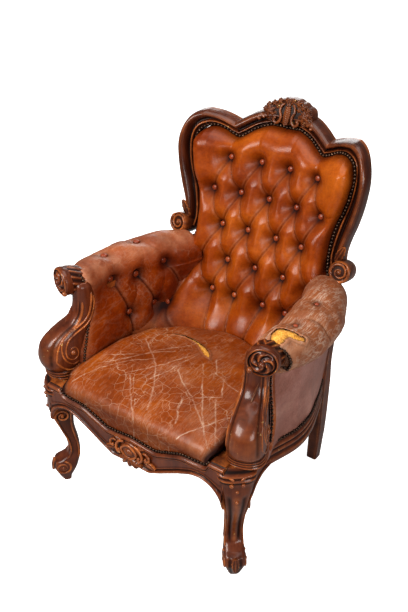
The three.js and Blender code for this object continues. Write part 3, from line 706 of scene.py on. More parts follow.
def build_back():
    """The tufted leather of the back, from its top edge down to behind the seat."""
    nu, nv, low = 190, 224, BACK_LOW
    u = np.linspace(-1, 1, nu)[:, None] * np.ones((1, nv))
    v = np.ones((nu, 1)) * np.linspace(0, 1, nv)
    top = interp(BACK_TOP, np.abs(u) * BACK_WIDEST)
    z = low + v * (top - low)
    for _ in range(3):
        x = u * table(BACK_HALF, 0, z.ravel())[:, 1].reshape(z.shape)
        top = interp(BACK_TOP, np.minimum(np.abs(x) + 0.01, BACK_WIDEST - 0.1))
        z = low + v * (top - low)
    half = table(BACK_HALF, 0, z.ravel())[:, 1].reshape(z.shape)
    side = np.where(z < 600, 200.0, np.where(z < 650, 4.0 * (650 - z), 0))
    edge = np.minimum(np.maximum(half - np.abs(x), side), (top - z) * 0.85)
    y, cav, wear = back_surface(x, z, np.maximum(edge, 0))
    solid = Solid()
    rear = np.stack([x, np.maximum(back_y(x, z) + 4, y + 12), z], -1)
    slab(solid, np.stack([x, y, z], -1), rear, cav=cav, wear=wear)
    made = piece("back_leather_tufted", solid, BACK_LEATHER, ("back_cover", "back_foam"))


BUTTON_PROFILE = [
    (0.55, -4.0), (0.92, -2.4), (1.0, 0.0), (0.95, 2.0), (0.80, 3.8), (0.55, 5.0), (0.25, 5.6), (0.04, 5.8),
]


def button(solid, centre, normal, radius=9.5):
    """A leather-covered upholstery button: a crowned cap with a tucked edge."""
    normal, side, up = basis(normal, [0.1, 0.2, 1.0])
    rings = turned(centre, normal, side, up, BUTTON_PROFILE, radius, 18)
    # Painted shade at the tucked edge round the foot of the button.
    tube(solid, rings, cav=np.array([1, 0.8, 0.45, 0.15, 0, 0, 0, 0]), wear=0.1)


def build_back_buttons():
    solid = Solid()
    for x, z in BACK_BUTTONS:
        x0, z0 = np.array([[x]], float), np.array([[z]], float)
        y = back_surface(x0, z0, np.array([[100.0]]))[0][0, 0]
        button(solid, np.array([x, y - 2.0, z]), [0.10 * x / 200, -1.0, 0.33])
    piece("back_buttons", solid, BUTTON_LEATHER)


build_back()
build_back_buttons()

# ---------------------------------------------------------------- the arms

POST_TURN, POST_CENTRE = math.radians(20.0), (318.0, -250.0)
LEG_TURN, LEG_CENTRE = math.radians(40.0), (310.0, -290.0)
# The rear edge of a post as (height, forward), the roll of an arm as (y, x, height, radius), and its
# inner wall as (y, x).
POST_REAR_LINE = [
    [390, -33], [404, -34], [425, -36], [458, -42], [488, -55], [518, -67], [547, -82], [576, -94],
    [605, -98], [642, -94], [677, -85], [705, -70], [720, -60],
]
ARM_ROLL = [
    [-190, 317, 650, 46], [-150, 320, 645, 52], [-115, 324, 640, 57], [-50, 325, 629, 65], [15, 320, 620, 71],
    [80, 309, 613, 74], [145, 293, 606, 74], [205, 272, 601, 71], [260, 252, 598, 66],
]
ARM_WALL = [[-220, 252], [-100, 251], [-20, 242], [60, 231], [140, 229], [260, 229]]
ARM_REAR = 252.0


def arm_frame(y):
    """Centre line of an arm's cross-section at y: seat, inner wall, over the roll, outer side."""
    cx, cz, r = table(ARM_ROLL, 0, np.array([y]))[0, 1:]
    wall = interp(ARM_WALL, y)
    points = [(wall - 8, 382), (wall, 420), (wall, 460), ((wall + cx - r) / 2 - 2, 525), (cx - r - 1, 580)]
    for a in range(190, -66, -9):
        t = math.radians(a)
        points.append((cx + r * math.cos(t), cz + r * math.sin(t)))
    points.append((cx + r * 0.36, cz - r * 1.02))
    return curve(points, 260)


def arm_grid(ny, ns):
    """Base points of the right arm's leather, its normals, and its y and arc coordinates."""
    u = np.linspace(0, 1, ny)
    base = np.zeros((ny, ns, 3))
    t = np.linspace(0, 1, ns)
    for i in range(ny):
        guess = np.full(ns, -170.0 + u[i] * (ARM_REAR + 170))
        for _ in range(3):
            section = sections_at(guess, t)
            line = arm_front(section)
            guess = line + u[i] * (ARM_REAR - line)
        base[i] = np.stack([section[:, 0], guess, section[:, 1]], -1)
    du = np.gradient(base, axis=0)
    ds = np.gradient(base, axis=1)
    normal = unit(np.cross(ds, du))
    steps = np.linalg.norm(np.diff(base[:, :, [0, 2]], axis=1), axis=2)
    arc = np.concatenate([np.zeros((ny, 1)), np.cumsum(steps, axis=1)], 1)
    return base, normal, base[:, :, 1], arc


SECTION_Y = np.linspace(-240, 270, 52)
SECTIONS = np.array([arm_frame(y) for y in SECTION_Y])


def sections_at(y, t):
    """Points of the arm's cross-section at y and share t of its arc, from the table of sections."""
    f = np.clip((y - SECTION_Y[0]) / (SECTION_Y[1] - SECTION_Y[0]), 0, len(SECTION_Y) - 1.001)
    i, f = f.astype(int), f % 1
    g = t * (SECTIONS.shape[1] - 1)
    j = np.minimum(g.astype(int), SECTIONS.shape[1] - 2)
    h = (g - j)[:, None]
    low = SECTIONS[i, j] * (1 - h) + SECTIONS[i, j + 1] * h
    high = SECTIONS[i + 1, j] * (1 - h) + SECTIONS[i + 1, j + 1] * h
    return low * (1 - f[:, None]) + high * f[:, None]


def arm_front(section):
    """Where the leather starts, at the rear line of the carved post."""
    s = interp(POST_REAR_LINE, section[:, 1])
    return POST_CENTRE[1] - s * math.cos(POST_TURN) + (section[:, 0] - POST_CENTRE[0]) * 0.30 - 9


# Buttons of an arm in three rows, as (y, arc length from the seat), and its pleats.
ARM_F = [(-72, 240), (22, 222), (126, 228)]
ARM_G = [(-22, 110), (86, 96)]
ARM_H = [(-52, 350), (80, 352)]
ARM_PLEATS = [
    ((-72, 240), (-22, 110), 1), ((-22, 110), (22, 222), 0.5), ((22, 222), (86, 96), 1),
    ((86, 96), (126, 228), 0.5), ((126, 228), (200, 100), 0.9), ((-22, 110), (-26, -20), 1),
    ((86, 96), (84, -20), 1),
    ((200, 100), (200, -20), 1), ((-72, 240), (-52, 350), 0.25), ((22, 222), (-52, 350), 0.12),
    ((22, 222), (80, 352), 0.15), ((126, 228), (80, 352), 0.2), ((-52, 350), (-30, 430), 0.25),
    ((80, 352), (60, 430), 0.25),
]
ARM_FULL = 31.0
# The right arm's crease over the roll, and the outlines of its tear and of the scuffed patch below it.
RIGHT_FOLD = [
    ((-30, 340), (-6, 378), 0.6), ((-6, 378), (5, 402), 1), ((5, 402), (12, 436), 1),
    ((12, 436), (38, 482), 1), ((38, 482), (30, 540), 0.6)
]
TEAR_OUTLINE = [
    (-144, 331), (-111, 326), (-97, 362), (-94, 385), (-83, 405), (-93, 411), (-112, 395), (-126, 376),
    (-152, 376), (-171, 371), (-180, 356), (-172, 344),
]
SCUFF = [(-150, 384), (-124, 399), (-99, 418)]


def build_arm(side, material, tear=None):
    """One arm's leather and buttons; returns what lies in its tear, and its points and normals."""
    ny, ns = 152, 216
    base, normal, y, arc = arm_grid(ny, ns)
    buttons = ARM_F + ARM_G + ARM_H
    pleats = ARM_PLEATS + (RIGHT_FOLD if side > 0 else [])
    height, pleat, to_button = tuft(y, arc, buttons, pleats, 44.0, ARM_FULL, 0.50, BUTTON_DIMPLE)
    seed = 40 if side > 0 else 60
    top = smoothstep(arc, 260, 330) * (1 - smoothstep(arc, 430, 520))
    soften = 1 - 0.50 * smoothstep(arc, 280, 340)
    drop = (ARM_FULL - height) * soften
    wrinkle = (
        noise(y, arc, 44, seed, 3) * 3.0 + noise(y * 2.2, arc, 15, seed + 4, 2) * 1.1 * np.exp(-pleat / 18)
    )
    sag = noise(y, arc, 90, seed + 9, 2) * 5.0 * top
    ripple = np.sin(y / 9.0 + noise(y, arc, 40, seed + 2) * 2.0) * 2.2
    gathers = ripple * smoothstep(arc, 500, 600) * (1 - smoothstep(y, 20, 90))
    front_edge = y - y[:1]
    tuck = 12.0 * (1 - rounding(front_edge, 24.0)) * smoothstep(arc, 120, 220)
    tuck = tuck + 6.0 * np.exp(-front_edge / 8.0)
    move = -drop + wrinkle * smoothstep(pleat, 0, 10) + sag + gathers - tuck
    p = base + normal * move[..., None]
    # Painted shade in pleats and button pits, low by the seat, by the post and under the roll.
    cav = np.exp(-pleat / 2.2) * 0.5 + 0.22 * np.exp(-pleat / 10.0) + 0.3 * bell(to_button, 0, 30.0)
    cav = cav * soften + bell(to_button, 0, 14.0) * 0.7
    cav = cav + 0.5 * (1 - smoothstep(arc, 8, 60)) + 0.5 * np.exp(-front_edge / 5.0)
    cav = cav + 0.8 * smoothstep(arc, 560, 640)
    rubbed = (0.75 if side < 0 else 0.3) * smoothstep(arc, 235, 300)
    wear = bell(pleat, 7.0, 3.0) * smoothstep(to_button, 12, 30) * 0.4
    wear = wear + rubbed * (0.75 + 0.5 * noise(y, arc, 40, seed + 12, 3))
    wear = wear + bell(front_edge, 14, 12.0) * 0.5
    keep = foam = None
    if tear:
        keep, p, wear, cav, foam = tear(y, arc, p, normal, wear, cav)
    solid = Solid()
    cx, cz, _ = np.moveaxis(table(ARM_ROLL, 0, y.ravel())[:, 1:].reshape(ny, ns, 3), -1, 0)
    inner = np.stack([cx, y, np.minimum(p[..., 2], cz) * 0.5 + cz * 0.5], -1)
    slab(solid, p, inner, keep, np.clip(cav, 0, 1), np.clip(wear, 0, 1))
    if side < 0:
        solid = solid.mirrored()
    nodes = ("arm_cover_right",) if side > 0 else ("arm_cover_left", "arm_foam_left")
    made = piece("arm_leather_%s_tufted" % SIDES[side], solid, material, nodes)
    caps = Solid()
    for by, bs in buttons:
        at = np.argmin((y - by) ** 2 + (arc - bs) ** 2)
        i, j = np.unravel_index(at, y.shape)
        flattened = side > 0 and (by, bs) in ARM_H
        raised, radius = (-0.5, 7.0) if flattened else (3.0, 10.5)
        button(caps, p[i, j] + normal[i, j] * raised, normal[i, j], radius)
    if side < 0:
        caps = caps.mirrored()
    piece("arm_buttons_" + SIDES[side], caps, BUTTON_LEATHER)
    return foam, p, normal


def arm_tear(y, arc, p, normal, wear, cav):
    """The tear over the right arm's roll: leather gone, lips curled, foam under it."""
    wy, wa = y + noise(y, arc, 9, 77, 3) * 2.6, arc + noise(y, arc, 8, 78, 3) * 2.6
    edge = polyline_distance(wy, wa, TEAR_OUTLINE + TEAR_OUTLINE[:1])[0]
    away = np.where(inside_outline(wy, wa, TEAR_OUTLINE), -edge, edge)
    hole = away < 0
    lip = np.exp(-np.clip(away, 0, 60) / 5.0) * ~hole
    p = p + normal * (lip * 2.8)[..., None]
    scuff = bell(polyline_distance(y, arc, SCUFF)[0], 0, 14.0)
    wear = wear + lip * 0.7 + scuff * 1.4
    # Painted shade in a ring outside the tear's curled lip; none on the scuff.
    cav = cav * (1 - scuff) + bell(away, 8, 3.0) * 0.30
    quad = hole[:-1, :-1] & hole[1:, :-1] & hole[1:, 1:] & hole[:-1, 1:]
    return ~quad, p, wear, cav, (y, arc, away)


foam_info, arm_points, arm_normals = build_arm(1, ARM_RIGHT_LEATHER, arm_tear)
ARM_EDGES = {1: (arm_points, arm_normals), -1: build_arm(-1, ARM_LEFT_LEATHER)[1:]}


def build_arm_foam():
    """The crumbling foam that shows in the tear."""
    y, arc, away = foam_info
    rows = np.where(((y > -210) & (y < -64)).any(1))[0]
    i0, i1 = rows[0], rows[-1]
    torn_row = arc[(i0 + i1) // 2]
    j0, j1 = np.argmin(abs(torn_row - 312)), np.argmin(abs(torn_row - 428))
    cut = (slice(i0, i1), slice(j0, j1))
    p, normal = arm_points[cut], arm_normals[cut]
    yy, ss = y[cut], arc[cut]
    depth = (
        3.0 + 8.0 * smoothstep(away[cut], -2, 6) + 2.2 * noise(yy, ss, 7, 5, 3)
        - 1.5 * smoothstep(-away[cut], 4, 16)
    )
    front = p - normal * depth[..., None]
    solid = Solid()
    # Painted shade on the foam under the tear's edges.
    cav = np.clip(0.15 + 0.9 * np.exp(-np.clip(-away[cut], 0, 40) / 4.5) - 0.3 * noise(yy, ss, 9, 6), 0, 1)
    slab(solid, front, p - normal * 40.0, cav=cav)
    made = piece("arm_foam_torn_right", solid, FOAM, ("arm_foam_right",))


build_arm_foam()

# ---------------------------------------------------------------- the seat

# The seat's side edge and the field inside its welted border, as (y, half width).
SEAT_HALF = [
    [-345, 251], [-320, 258], [-280, 266], [-200, 262], [-100, 253], [13, 244], [105, 225], [200, 200]
]
SEAT_FIELD = [
    [-345, 252], [-320, 258], [-280, 266], [-200, 261], [-100, 251], [13, 218], [105, 146], [145, 84],
    [164, 4], [200, 0]
]
# The upper and lower edges of the front rail, as (x, height).
APRON_FACE, APRON_SHELF = -340.5, 384
APRON_UPPER = [[0, 342], [80, 336], [125, 352], [175, 370], [238, 374], [252, 379], [262, 394], [306, 396]]
APRON_LOWER = [
    [0, 258], [60, 256], [90, 268], [130, 290], [175, 314], [222, 332], [237, 333], [262, 326], [278, 315],
    [290, 300], [298, 284], [303, 268], [305, 262],
]
# The seat's middle line over its front edge, as (y, height), and the cracks in its leather as (x, y).
SEAT_PROFILE = [
    [-332.5, 340], [-334, 368], [-336, 382], [-337.5, 392], [-337, 401], [-334, 409], [-328, 417],
    [-318, 424], [-302, 430.5], [-270, 438], [-225, 444.5], [-170, 449.5], [-100, 453], [0, 449], [80, 438],
    [190, 418],
]
SEAT_CRACKS = [
    [(-216, -236), (-147, -162), (-99, -83), (-47, -7)],
    [(-114, -222), (-75, -182), (-41, -133), (-24, -85), (0, -30)],
    [(-36, -206), (-14, -144), (-8, -97), (5, -27)],
    [(-229, -323), (-191, -242), (-138, -173), (-80, -128)],
    [(44, -66), (97, -139), (158, -228), (210, -291), (241, -316)],
    [(44, -165), (107, -203), (196, -276)],
    [(164, -172), (210, -240), (250, -300)],
    [(113, -198), (172, -156), (130, -86)],
    [(84, -214), (107, -266), (128, -301)],
    [(-97, -221), (-35, -289), (10, -335)],
    [(152, -330), (181, -300), (196, -276), (235, -210)],
    [(-8, -97), (7, -135), (52, -171)],
    [(-170, -60), (-120, -100), (-60, -150), (-10, -220), (30, -300)],
    [(60, -20), (100, -80), (170, -110), (230, -120)],
    [(-60, -60), (-130, -130), (-200, -180)],
]
# The middle line of the torn slit near the back, and its half width at each point.
SEAT_TEAR = [(-138, -10), (-117, 12), (-89, 25), (-62, 24), (-35, 18), (1, -2), (26, -21), (42, -34)]
SEAT_TEAR_HALF = [0.2, 2.8, 3.8, 4.2, 6.0, 11.0, 9.5, 0.6]


def build_seat():
    """The cushion's leather with its cracks and torn slit, and the foam in the slit."""
    nu, nv = 230, 262
    profile = resample(np.array(SEAT_PROFILE, float), nv)
    profile = np.stack(
        [np.convolve(np.pad(profile[:, k], 3, "edge"), np.ones(7) / 7, "valid") for k in (0, 1)], 1
    )
    u = np.linspace(-1, 1, nu)[:, None]
    y = np.ones((nu, 1)) * profile[:, 0]
    x = u * interp(SEAT_HALF, y)
    z = np.ones((nu, 1)) * profile[:, 1]
    front = np.clip(smoothstep(z, 385, 400) + (y > -325), 0, 1)
    inset = np.minimum(interp(SEAT_FIELD, y) - np.abs(x), 164 - y - SEAT_BOW * x**2)
    inset = np.where(y < -325, interp(SEAT_FIELD, y) - np.abs(x), inset)
    sink = (1 - rounding(inset, 46.0)) * (30.0 - 16.0 * (1 - smoothstep(y, -260, -150)))
    z = z - sink * front * smoothstep(y, -345, -310) - 8.0 * (1 - smoothstep(inset, 0, 26)) * (y < -300)
    lower = interp(APRON_UPPER, np.abs(x)) - 1.5
    rail = np.clip((390 - z) / 50.0, 0, 1)
    z = np.where(z < 390, 390 - rail * (390 - lower), z)
    bumps = noise(x, y, 60, 21, 3) * 3.2 + noise(x, y, 150, 23, 2) * 5.0
    z = z + bumps * smoothstep(y, -340, -290) * smoothstep(inset, 0, 30)
    y = y + noise(x, z * 0.6, 40, 25, 3) * 2.2 * (1 - smoothstep(y, -330, -300)) * (z > 388)
    line = np.zeros_like(x)
    wobble_x = x + noise(x, y, 17, 31, 3) * 3.4
    wobble_y = y + noise(x, y, 17, 35, 3) * 3.4
    for crack in SEAT_CRACKS:
        d, _ = polyline_distance(wobble_x, wobble_y, crack)
        line = np.maximum(line, bell(d, 0, 1.15) * (0.50 + 0.40 * noise(x, y, 26, 41)))
    tear, along = polyline_distance(x + noise(x, y, 9, 51) * 1.6, y + noise(x, y, 9, 53) * 1.6, SEAT_TEAR)
    away = tear - np.interp(along, np.arange(len(SEAT_TEAR)), SEAT_TEAR_HALF)
    hole = away < 0
    lip = np.exp(-np.clip(away, 0, 60) / 5.0)
    z = z + lip * 2.6 * (y < 5 + SEAT_TEAR[3][1]) - line * 0.7
    # Painted shade along the welted border and beside the slit, and on the cushion's front face below the
    # lip.
    cav = 0.8 * (1 - smoothstep(inset, 2, 22)) + bell(away, 6, 3.0) * 0.3
    cav = cav + 0.34 * (1 - smoothstep(z, 396, 426)) * (y < -300)
    # Pale band on the upper front lip: partly wear, partly painted highlight.
    wear = lip * 0.35 + 0.22 * bell(y, -338, 14.0) * smoothstep(z, 392, 404)
    corner = np.exp(-(((np.abs(x) - 250) / 9.0) ** 2) - ((y + 326) / 9.0) ** 2)
    wear = wear + corner * 0.6 + 0.25 * smoothstep(noise(x, y, 80, 61), 0.1, 0.6)
    keep = ~(hole[:-1, :-1] & hole[1:, :-1] & hole[1:, 1:] & hole[:-1, 1:])
    p = np.stack([x, y, z], -1)
    rear = np.stack([x * 0.97, np.maximum(y + 3, -329), np.where(z < 389.5, z, 391.0)], -1)
    solid = Solid()
    slab(solid, p, rear, keep, np.clip(cav, 0, 1), np.clip(wear, 0, 1), np.clip(line, 0, 1))
    made = piece("seat_leather_cushion", solid, SEAT_LEATHER, ("seat_cover",))
    rows, columns = np.where((away < 16).any(1))[0], np.where((away < 16).any(0))[0]
    near = (slice(rows[0], rows[-1] + 1), slice(columns[0], columns[-1] + 1))
    depth = 3.5 + 2.0 * noise(x[near], y[near], 6, 5, 3) + 5.0 * smoothstep(away[near], -1, 4)
    foam = p[near] - [0, 0, 1] * depth[..., None]
    inner = Solid()
    shade = np.clip(0.2 + np.exp(np.clip(away[near], -30, 0) / 2.0) * 0.5, 0, 1)
    slab(inner, foam, foam - [0, 0, 30.0], cav=shade)
    made = piece("seat_foam_torn", inner, FOAM, ("seat_foam",))


build_seat()

# ---------------------------------------------------------------- the show-wood frame of the back

# Outer and inner edges of a stile and of the crest as (x, height), and the moulding across them as
# (share of the width from the outer edge, height).
STILE_OUTER = [
    [279, 688], [277, 711], [279, 734], [286, 765], [298, 805], [308, 850], [314, 893], [316, 930],
    [311, 964], [298, 997], [280, 1018], [255, 1028], [235, 1026], [211, 1021], [187, 1013], [158, 1001],
]
STILE_INNER = [
    [233, 666], [225, 692], [224, 715], [225, 739], [229, 770], [236, 800], [248, 832], [257, 862],
    [263, 895], [267, 925], [265, 953], [254, 971], [234, 981], [211, 983], [185, 975], [162, 963],
    [141, 956],
]
CREST_OUTER = [[158, 1001], [136, 1015], [113, 1028], [90, 1038], [60, 1044], [0, 1048]]
CREST_INNER = [[141, 956], [124, 965], [104, 979], [82, 991], [60, 999], [45, 1003], [0, 1001]]
FRAME_SECTION = [
    (0.0, -10), (0.0, 0), (0.015, 8), (0.06, 16), (0.14, 22.5), (0.24, 25), (0.34, 22.5), (0.42, 16),
    (0.46, 8), (0.50, 3.5), (0.58, 3.0), (0.62, 6), (0.655, 11), (0.70, 13.5), (0.745, 11.5), (0.775, 6),
    (0.79, 4.5), (0.90, 4.0), (0.985, 3.0), (1.0, 1.5), (1.0, -10),
]


# The turned disc at the foot of a stile, as (share of the radius, height).
STILE_FOOT = [
    (0.86, -34), (0.96, -22), (1.0, 0), (1.0, 26), (0.965, 34), (0.90, 37.5), (0.83, 37), (0.6, 36.5),
    (0.3, 37.5), (0.05, 38),
]


def frame_sweep(solid, outer, inner):
    """Rings along a frame member, with the moulded face forward and a flat back."""
    n = len(outer)
    fine = resample(np.array([(t * 50.0, h) for t, h in FRAME_SECTION]), 58)
    t, h = fine[:, 0] / 50.0, fine[:, 1]
    rings = np.zeros((n, len(t) + 4, 3))
    for i in range(n):
        x = outer[i, 0] + (inner[i, 0] - outer[i, 0]) * t
        z = outer[i, 1] + (inner[i, 1] - outer[i, 1]) * t
        y = back_y(x, z) - h
        ox, oz, ix, iz = *outer[i], *inner[i]
        rx = np.array([ix, ix + (ox - ix) * 0.33, ix + (ox - ix) * 0.67, ox])
        rz = np.array([iz, iz + (oz - iz) * 0.33, iz + (oz - iz) * 0.67, oz])
        ry = back_y(rx, rz) + np.array([28, 33, 33, 24])
        rings[i] = np.stack([np.concatenate([x, rx]), np.concatenate([y, ry]), np.concatenate([z, rz])], -1)
    # Painted shade in the coves; wear and painted highlight along the ridges.
    groove = np.concatenate([
        0.9 * bell(t, 0.53, 0.055) + 0.55 * bell(t, 0.80, 0.03),
        np.zeros(4),
    ])
    ridge = bell(t, 0.70, 0.03) + 0.5 * bell(t, 0.16, 0.08)
    ridge = np.concatenate([ridge, np.zeros(4)])
    tube(solid, rings, cav=np.tile(groove.clip(0, 1), (n, 1)), wear=np.tile(ridge, (n, 1)))


def spiral(centre, u, v, radii, turns, n=70, start=0.0):
    """Points on a spiral in the plane of u and v. radii are (angle share, radius) pairs."""
    t = np.linspace(0, 1, n)
    r = interp(radii, t)
    a = start + 2 * np.pi * turns * t
    return (
        np.asarray(centre, float)
        + r[:, None] * (np.cos(a)[:, None] * np.asarray(u) + np.sin(a)[:, None] * np.asarray(v))
    )


def dome(
    solid, centre, normal, radius, height, squash=(1, 1), rings=7, sides=20, cav=0.0, wear=0.5, petals=0,
    depth=0.0
):
    """A raised boss on a carved face; petals scallop it into a rosette."""
    normal, side, up = basis(normal, [0.0, 0.02, 1.0])
    a = np.linspace(0, 2 * np.pi, sides, endpoint=False)
    scallop = 1 + depth * np.cos(petals * a) if petals else np.ones(sides)
    t = np.linspace(0, 1, rings)
    out = [
        np.asarray(centre) - normal * 3
        + radius * (scallop * np.cos(a))[:, None] * side * squash[0]
        + radius * (scallop * np.sin(a))[:, None] * up * squash[1]
    ]
    for k in t:
        r, h = math.cos(k * math.pi / 2 * 0.96), math.sin(k * math.pi / 2)
        s = 1 + (scallop - 1) * (1 - k * 0.4)
        dip = h * height * (1 - (0.25 * (1 - s) if petals else 0))
        out.append(
            np.asarray(centre)
            + radius * r * (s * np.cos(a))[:, None] * side * squash[0]
            + radius * r * (s * np.sin(a))[:, None] * up * squash[1]
            + np.atleast_1d(dip)[:, None] * normal
        )
    # Painted shade as given; wear and painted highlight rising to the crown.
    tube(solid, np.array(out), cav=cav, wear=np.linspace(0, wear, rings + 1))


def leaf(solid, root, tip, width, normal, lift=6.0, curl=8.0, veins=3, wear=0.6):
    """A lobed carved leaf from root to tip, ridged along its length and curled at the end."""
    root, tip = np.asarray(root, float), np.asarray(tip, float)
    normal = unit(np.asarray(normal, float))
    along = tip - root
    side = unit(np.cross(along, normal))
    n, m = 22, 17
    t = np.linspace(0, 1, n)[:, None]
    w = np.linspace(-1, 1, m)[None, :]
    half = width * np.sin(np.pi * np.clip(t * 0.86 + 0.10, 0, 1)) ** 0.75 * (1 - 0.10 * np.cos(t * 26))
    crown = lift * (1 - w**2) ** 0.5 * np.sin(np.pi * np.clip(t * 0.85 + 0.12, 0, 1)) ** 0.5
    ridge = 0.22 * lift * np.cos(w * math.pi * veins) * np.sin(np.pi * t)
    out = crown + ridge + curl * t**2.2
    p = root + along * t[..., None] + side * (half * w)[..., None] + normal * out[..., None]
    base = (
        root + along * t[..., None] + side * (half * w)[..., None] + normal * (curl * t**2.2 - 5)[..., None]
    )
    # Painted shade in the veins and at the rim; wear and painted highlight on the crown.
    cav = 0.55 * (1 - np.cos(w * math.pi * veins)) / 2 * np.ones_like(t) + 0.5 * (np.abs(w) > 0.93)
    slab(solid, p, base, cav=cav * 0.7, wear=wear * np.clip(crown / lift, 0, 1) * (0.4 + 0.6 * t))


def build_stile(side):
    """A side of the back's frame, ending below in a disc with a volute and leaves."""
    solid = Solid()
    outer, inner = curve(STILE_OUTER, 190), curve(STILE_INNER, 190)
    frame_sweep(solid, outer, inner)
    cx, cz, r = 282.0, 672.0, 33.0
    cy = float(back_y(cx, cz))
    forward = unit(np.array([0.10, -1.0, 0.33]))
    e1 = unit(np.cross([0, 0, 1.0], forward))
    e2 = np.cross(forward, e1)
    e1 = -e1 if e1[0] < 0 else e1
    e2 = e2 if e2[2] > 0 else -e2
    middle = np.array([cx, cy, cz])
    # Painted shade on the dished face and at the back; wear and painted highlight on the rim.
    tube(
        solid, turned(middle, forward, e1, e2, STILE_FOOT, r, 44),
        cav=np.array([0.3, 0.2, 0, 0, 0, 0.1, 0.6, 0.6, 0.5, 0.4]),
        wear=np.array([0, 0, 0.1, 0.2, 0.6, 0.6, 0, 0, 0, 0])
    )
    face = middle + forward * 37.5
    turns = spiral(face, e1, e2, [[0, 30], [0.4, 24], [0.7, 14], [1, 5]], -2.1, 110, math.radians(60))
    bead(solid, turns, np.linspace(4.6, 2.6, 110), 1.0, forward, wear=0.7)
    dome(solid, face, forward, 6.5, 6.0, wear=0.8)
    for k in range(7):
        b = math.radians(-60 + 42 * k)
        p = face + 20.5 * (math.cos(b) * e1 + math.sin(b) * e2)
        q = face + 28.5 * (math.cos(b + 0.25) * e1 + math.sin(b + 0.25) * e2)
        leaf(solid, p, q, 4.6, forward, 2.5, 1.5, 1)
    leaf(
        solid, [262, back_y(262, 700) - 20, 702], [284, back_y(284, 752) - 20, 752], 12, [0.15, -1, 0.3], 5,
        4, 2
    )
    side_piece(side, "carved_back_stile_", solid, SHOW_WOOD, "back_stile_", 50)


# Small carved flowers of the crest, as (x, height, radius) on its right half.
CREST_FLOWERS = [
    (12, 1079, 7.5), (34, 1073, 8.5), (39, 1054, 8.0), (54, 1064, 8.5), (72, 1056, 8.5), (84, 1042, 7.0),
    (45, 1034, 7.0)
]


def build_crest():
    """The top rail with its carved middle: scrolls, rosettes, flowers and leaves."""
    solid = Solid()
    half = Solid()
    frame_sweep(half, curve(CREST_OUTER, 80), curve(CREST_INNER, 80))
    solid.absorb(half)
    solid.absorb(half.mirrored())
    face = np.array([0, -0.95, 0.31])

    def at(x, z, out):
        x, z = 0.90 * x, 1013.0 + (z - 998.0) * 0.83
        return np.array([x, float(back_y(0, 1030)) + (z - 1030) * 0.33 - 0.9e-3 * x * x - out, z])

    edge = [
        [-92, 1030], [-88, 1050], [-76, 1060], [-62, 1064], [-50, 1072], [-36, 1075], [-22, 1081],
        [-10, 1082], [0, 1083], [10, 1082], [22, 1081], [36, 1075], [50, 1072], [62, 1064], [76, 1060],
        [88, 1050], [92, 1030], [76, 1014], [52, 1010], [30, 1004], [0, 998], [-30, 1004], [-52, 1010],
        [-76, 1014],
    ]
    line = curve(edge, 96, closed=True)[:-1]
    middle = np.array([0, 1036.0])
    rings = []
    for share, out in (
        (0.94, -22), (1.0, -14), (1.0, 12), (0.97, 17), (0.92, 20), (0.8, 22), (0.5, 24), (0.05, 25)
    ):
        ring = middle + (line - middle) * share
        rings.append(np.array([at(x, z, out) for x, z in ring]))
    # Painted shade on the sunk ground of the carved middle.
    tube(solid, np.array(rings), cav=np.array([0, 0, 0, 0.2, 0.6, 0.85, 0.85, 0.8]), wear=0.0)
    for s in (1, -1):
        scroll = [
            at(s * 14, 1070, 25), at(s * 24, 1062, 27), at(s * 27, 1046, 28), at(s * 21, 1030, 28),
            at(s * 22, 1014, 27),
            at(s * 32, 1004, 26), at(s * 43, 1008, 26), at(s * 44, 1018, 27), at(s * 36, 1021, 28),
        ]
        bead(solid, curve(scroll, 60), np.linspace(3.6, 4.6, 60), 0.9, face, wear=0.1)
        for x, z, r in CREST_FLOWERS:
            dome(solid, at(s * x, z, 20), face, r, 0.8 * r, cav=0.3, wear=0.5, petals=5, depth=0.26, sides=30)
            dome(solid, at(s * x, z, 20 + 0.7 * r), face, 0.3 * r, 0.3 * r, wear=0.9, sides=10, rings=4)
        dome(solid, at(s * 64, 1038, 22), face, 15, 9, wear=0.7, petals=5, depth=0.22, sides=40)
        dome(solid, at(s * 64, 1038, 30), face, 4.6, 4.5, wear=0.9)
        for k in range(5):
            a = math.radians(90 - s * (70 * k - 60) * 0.9)
            tip = at(s * 64 + 24 * math.cos(a), 1038 + 20 * math.sin(a), 17)
            leaf(solid, at(s * 64 + 9 * math.cos(a), 1038 + 8 * math.sin(a), 20), tip, 7.5, face, 5, 3, 2)
        for x0, z0, x1, z1, w in (
            (30, 1058, 44, 1078, 8), (46, 1054, 66, 1066, 8), (62, 1050, 84, 1056, 8),
            (70, 1034, 92, 1042, 7), (72, 1022, 96, 1024, 7), (52, 1016, 74, 1008, 7),
            (10, 1062, 14, 1084, 8),
        ):
            leaf(solid, at(s * x0, z0, 17), at(s * x1, z1, 13), w, face, 6, 3, 2)
        small = [
            at(s * 78, 1012, 22), at(s * 92, 1020, 22), at(s * 101, 1014, 22), at(s * 98, 1006, 23),
            at(s * 91, 1009, 24)
        ]
        bead(solid, curve(small, 40), np.linspace(5.0, 3.4, 40), 0.9, face, wear=0.35)
    for k in range(9):
        z = 1006 + 6.6 * k
        w = 9.0 + 4.0 * math.sin(k / 8 * math.pi)
        rung = [at(-w, z + 2, 25), at(0, z - 1, 31), at(w, z + 2, 25)]
        bead(solid, curve(rung, 14), 3.2, 0.9, face, wear=0.2)
    leaf(solid, at(0, 1062, 24), at(0, 1086, 15), 11, face, 6, 2, 3)
    piece("carved_crest_rail", solid, CREST_WOOD, ("crest_rail",), 50)


for sign in (1, -1):
    build_stile(sign)
build_crest()

# ---------------------------------------------------------------- carved posts and legs

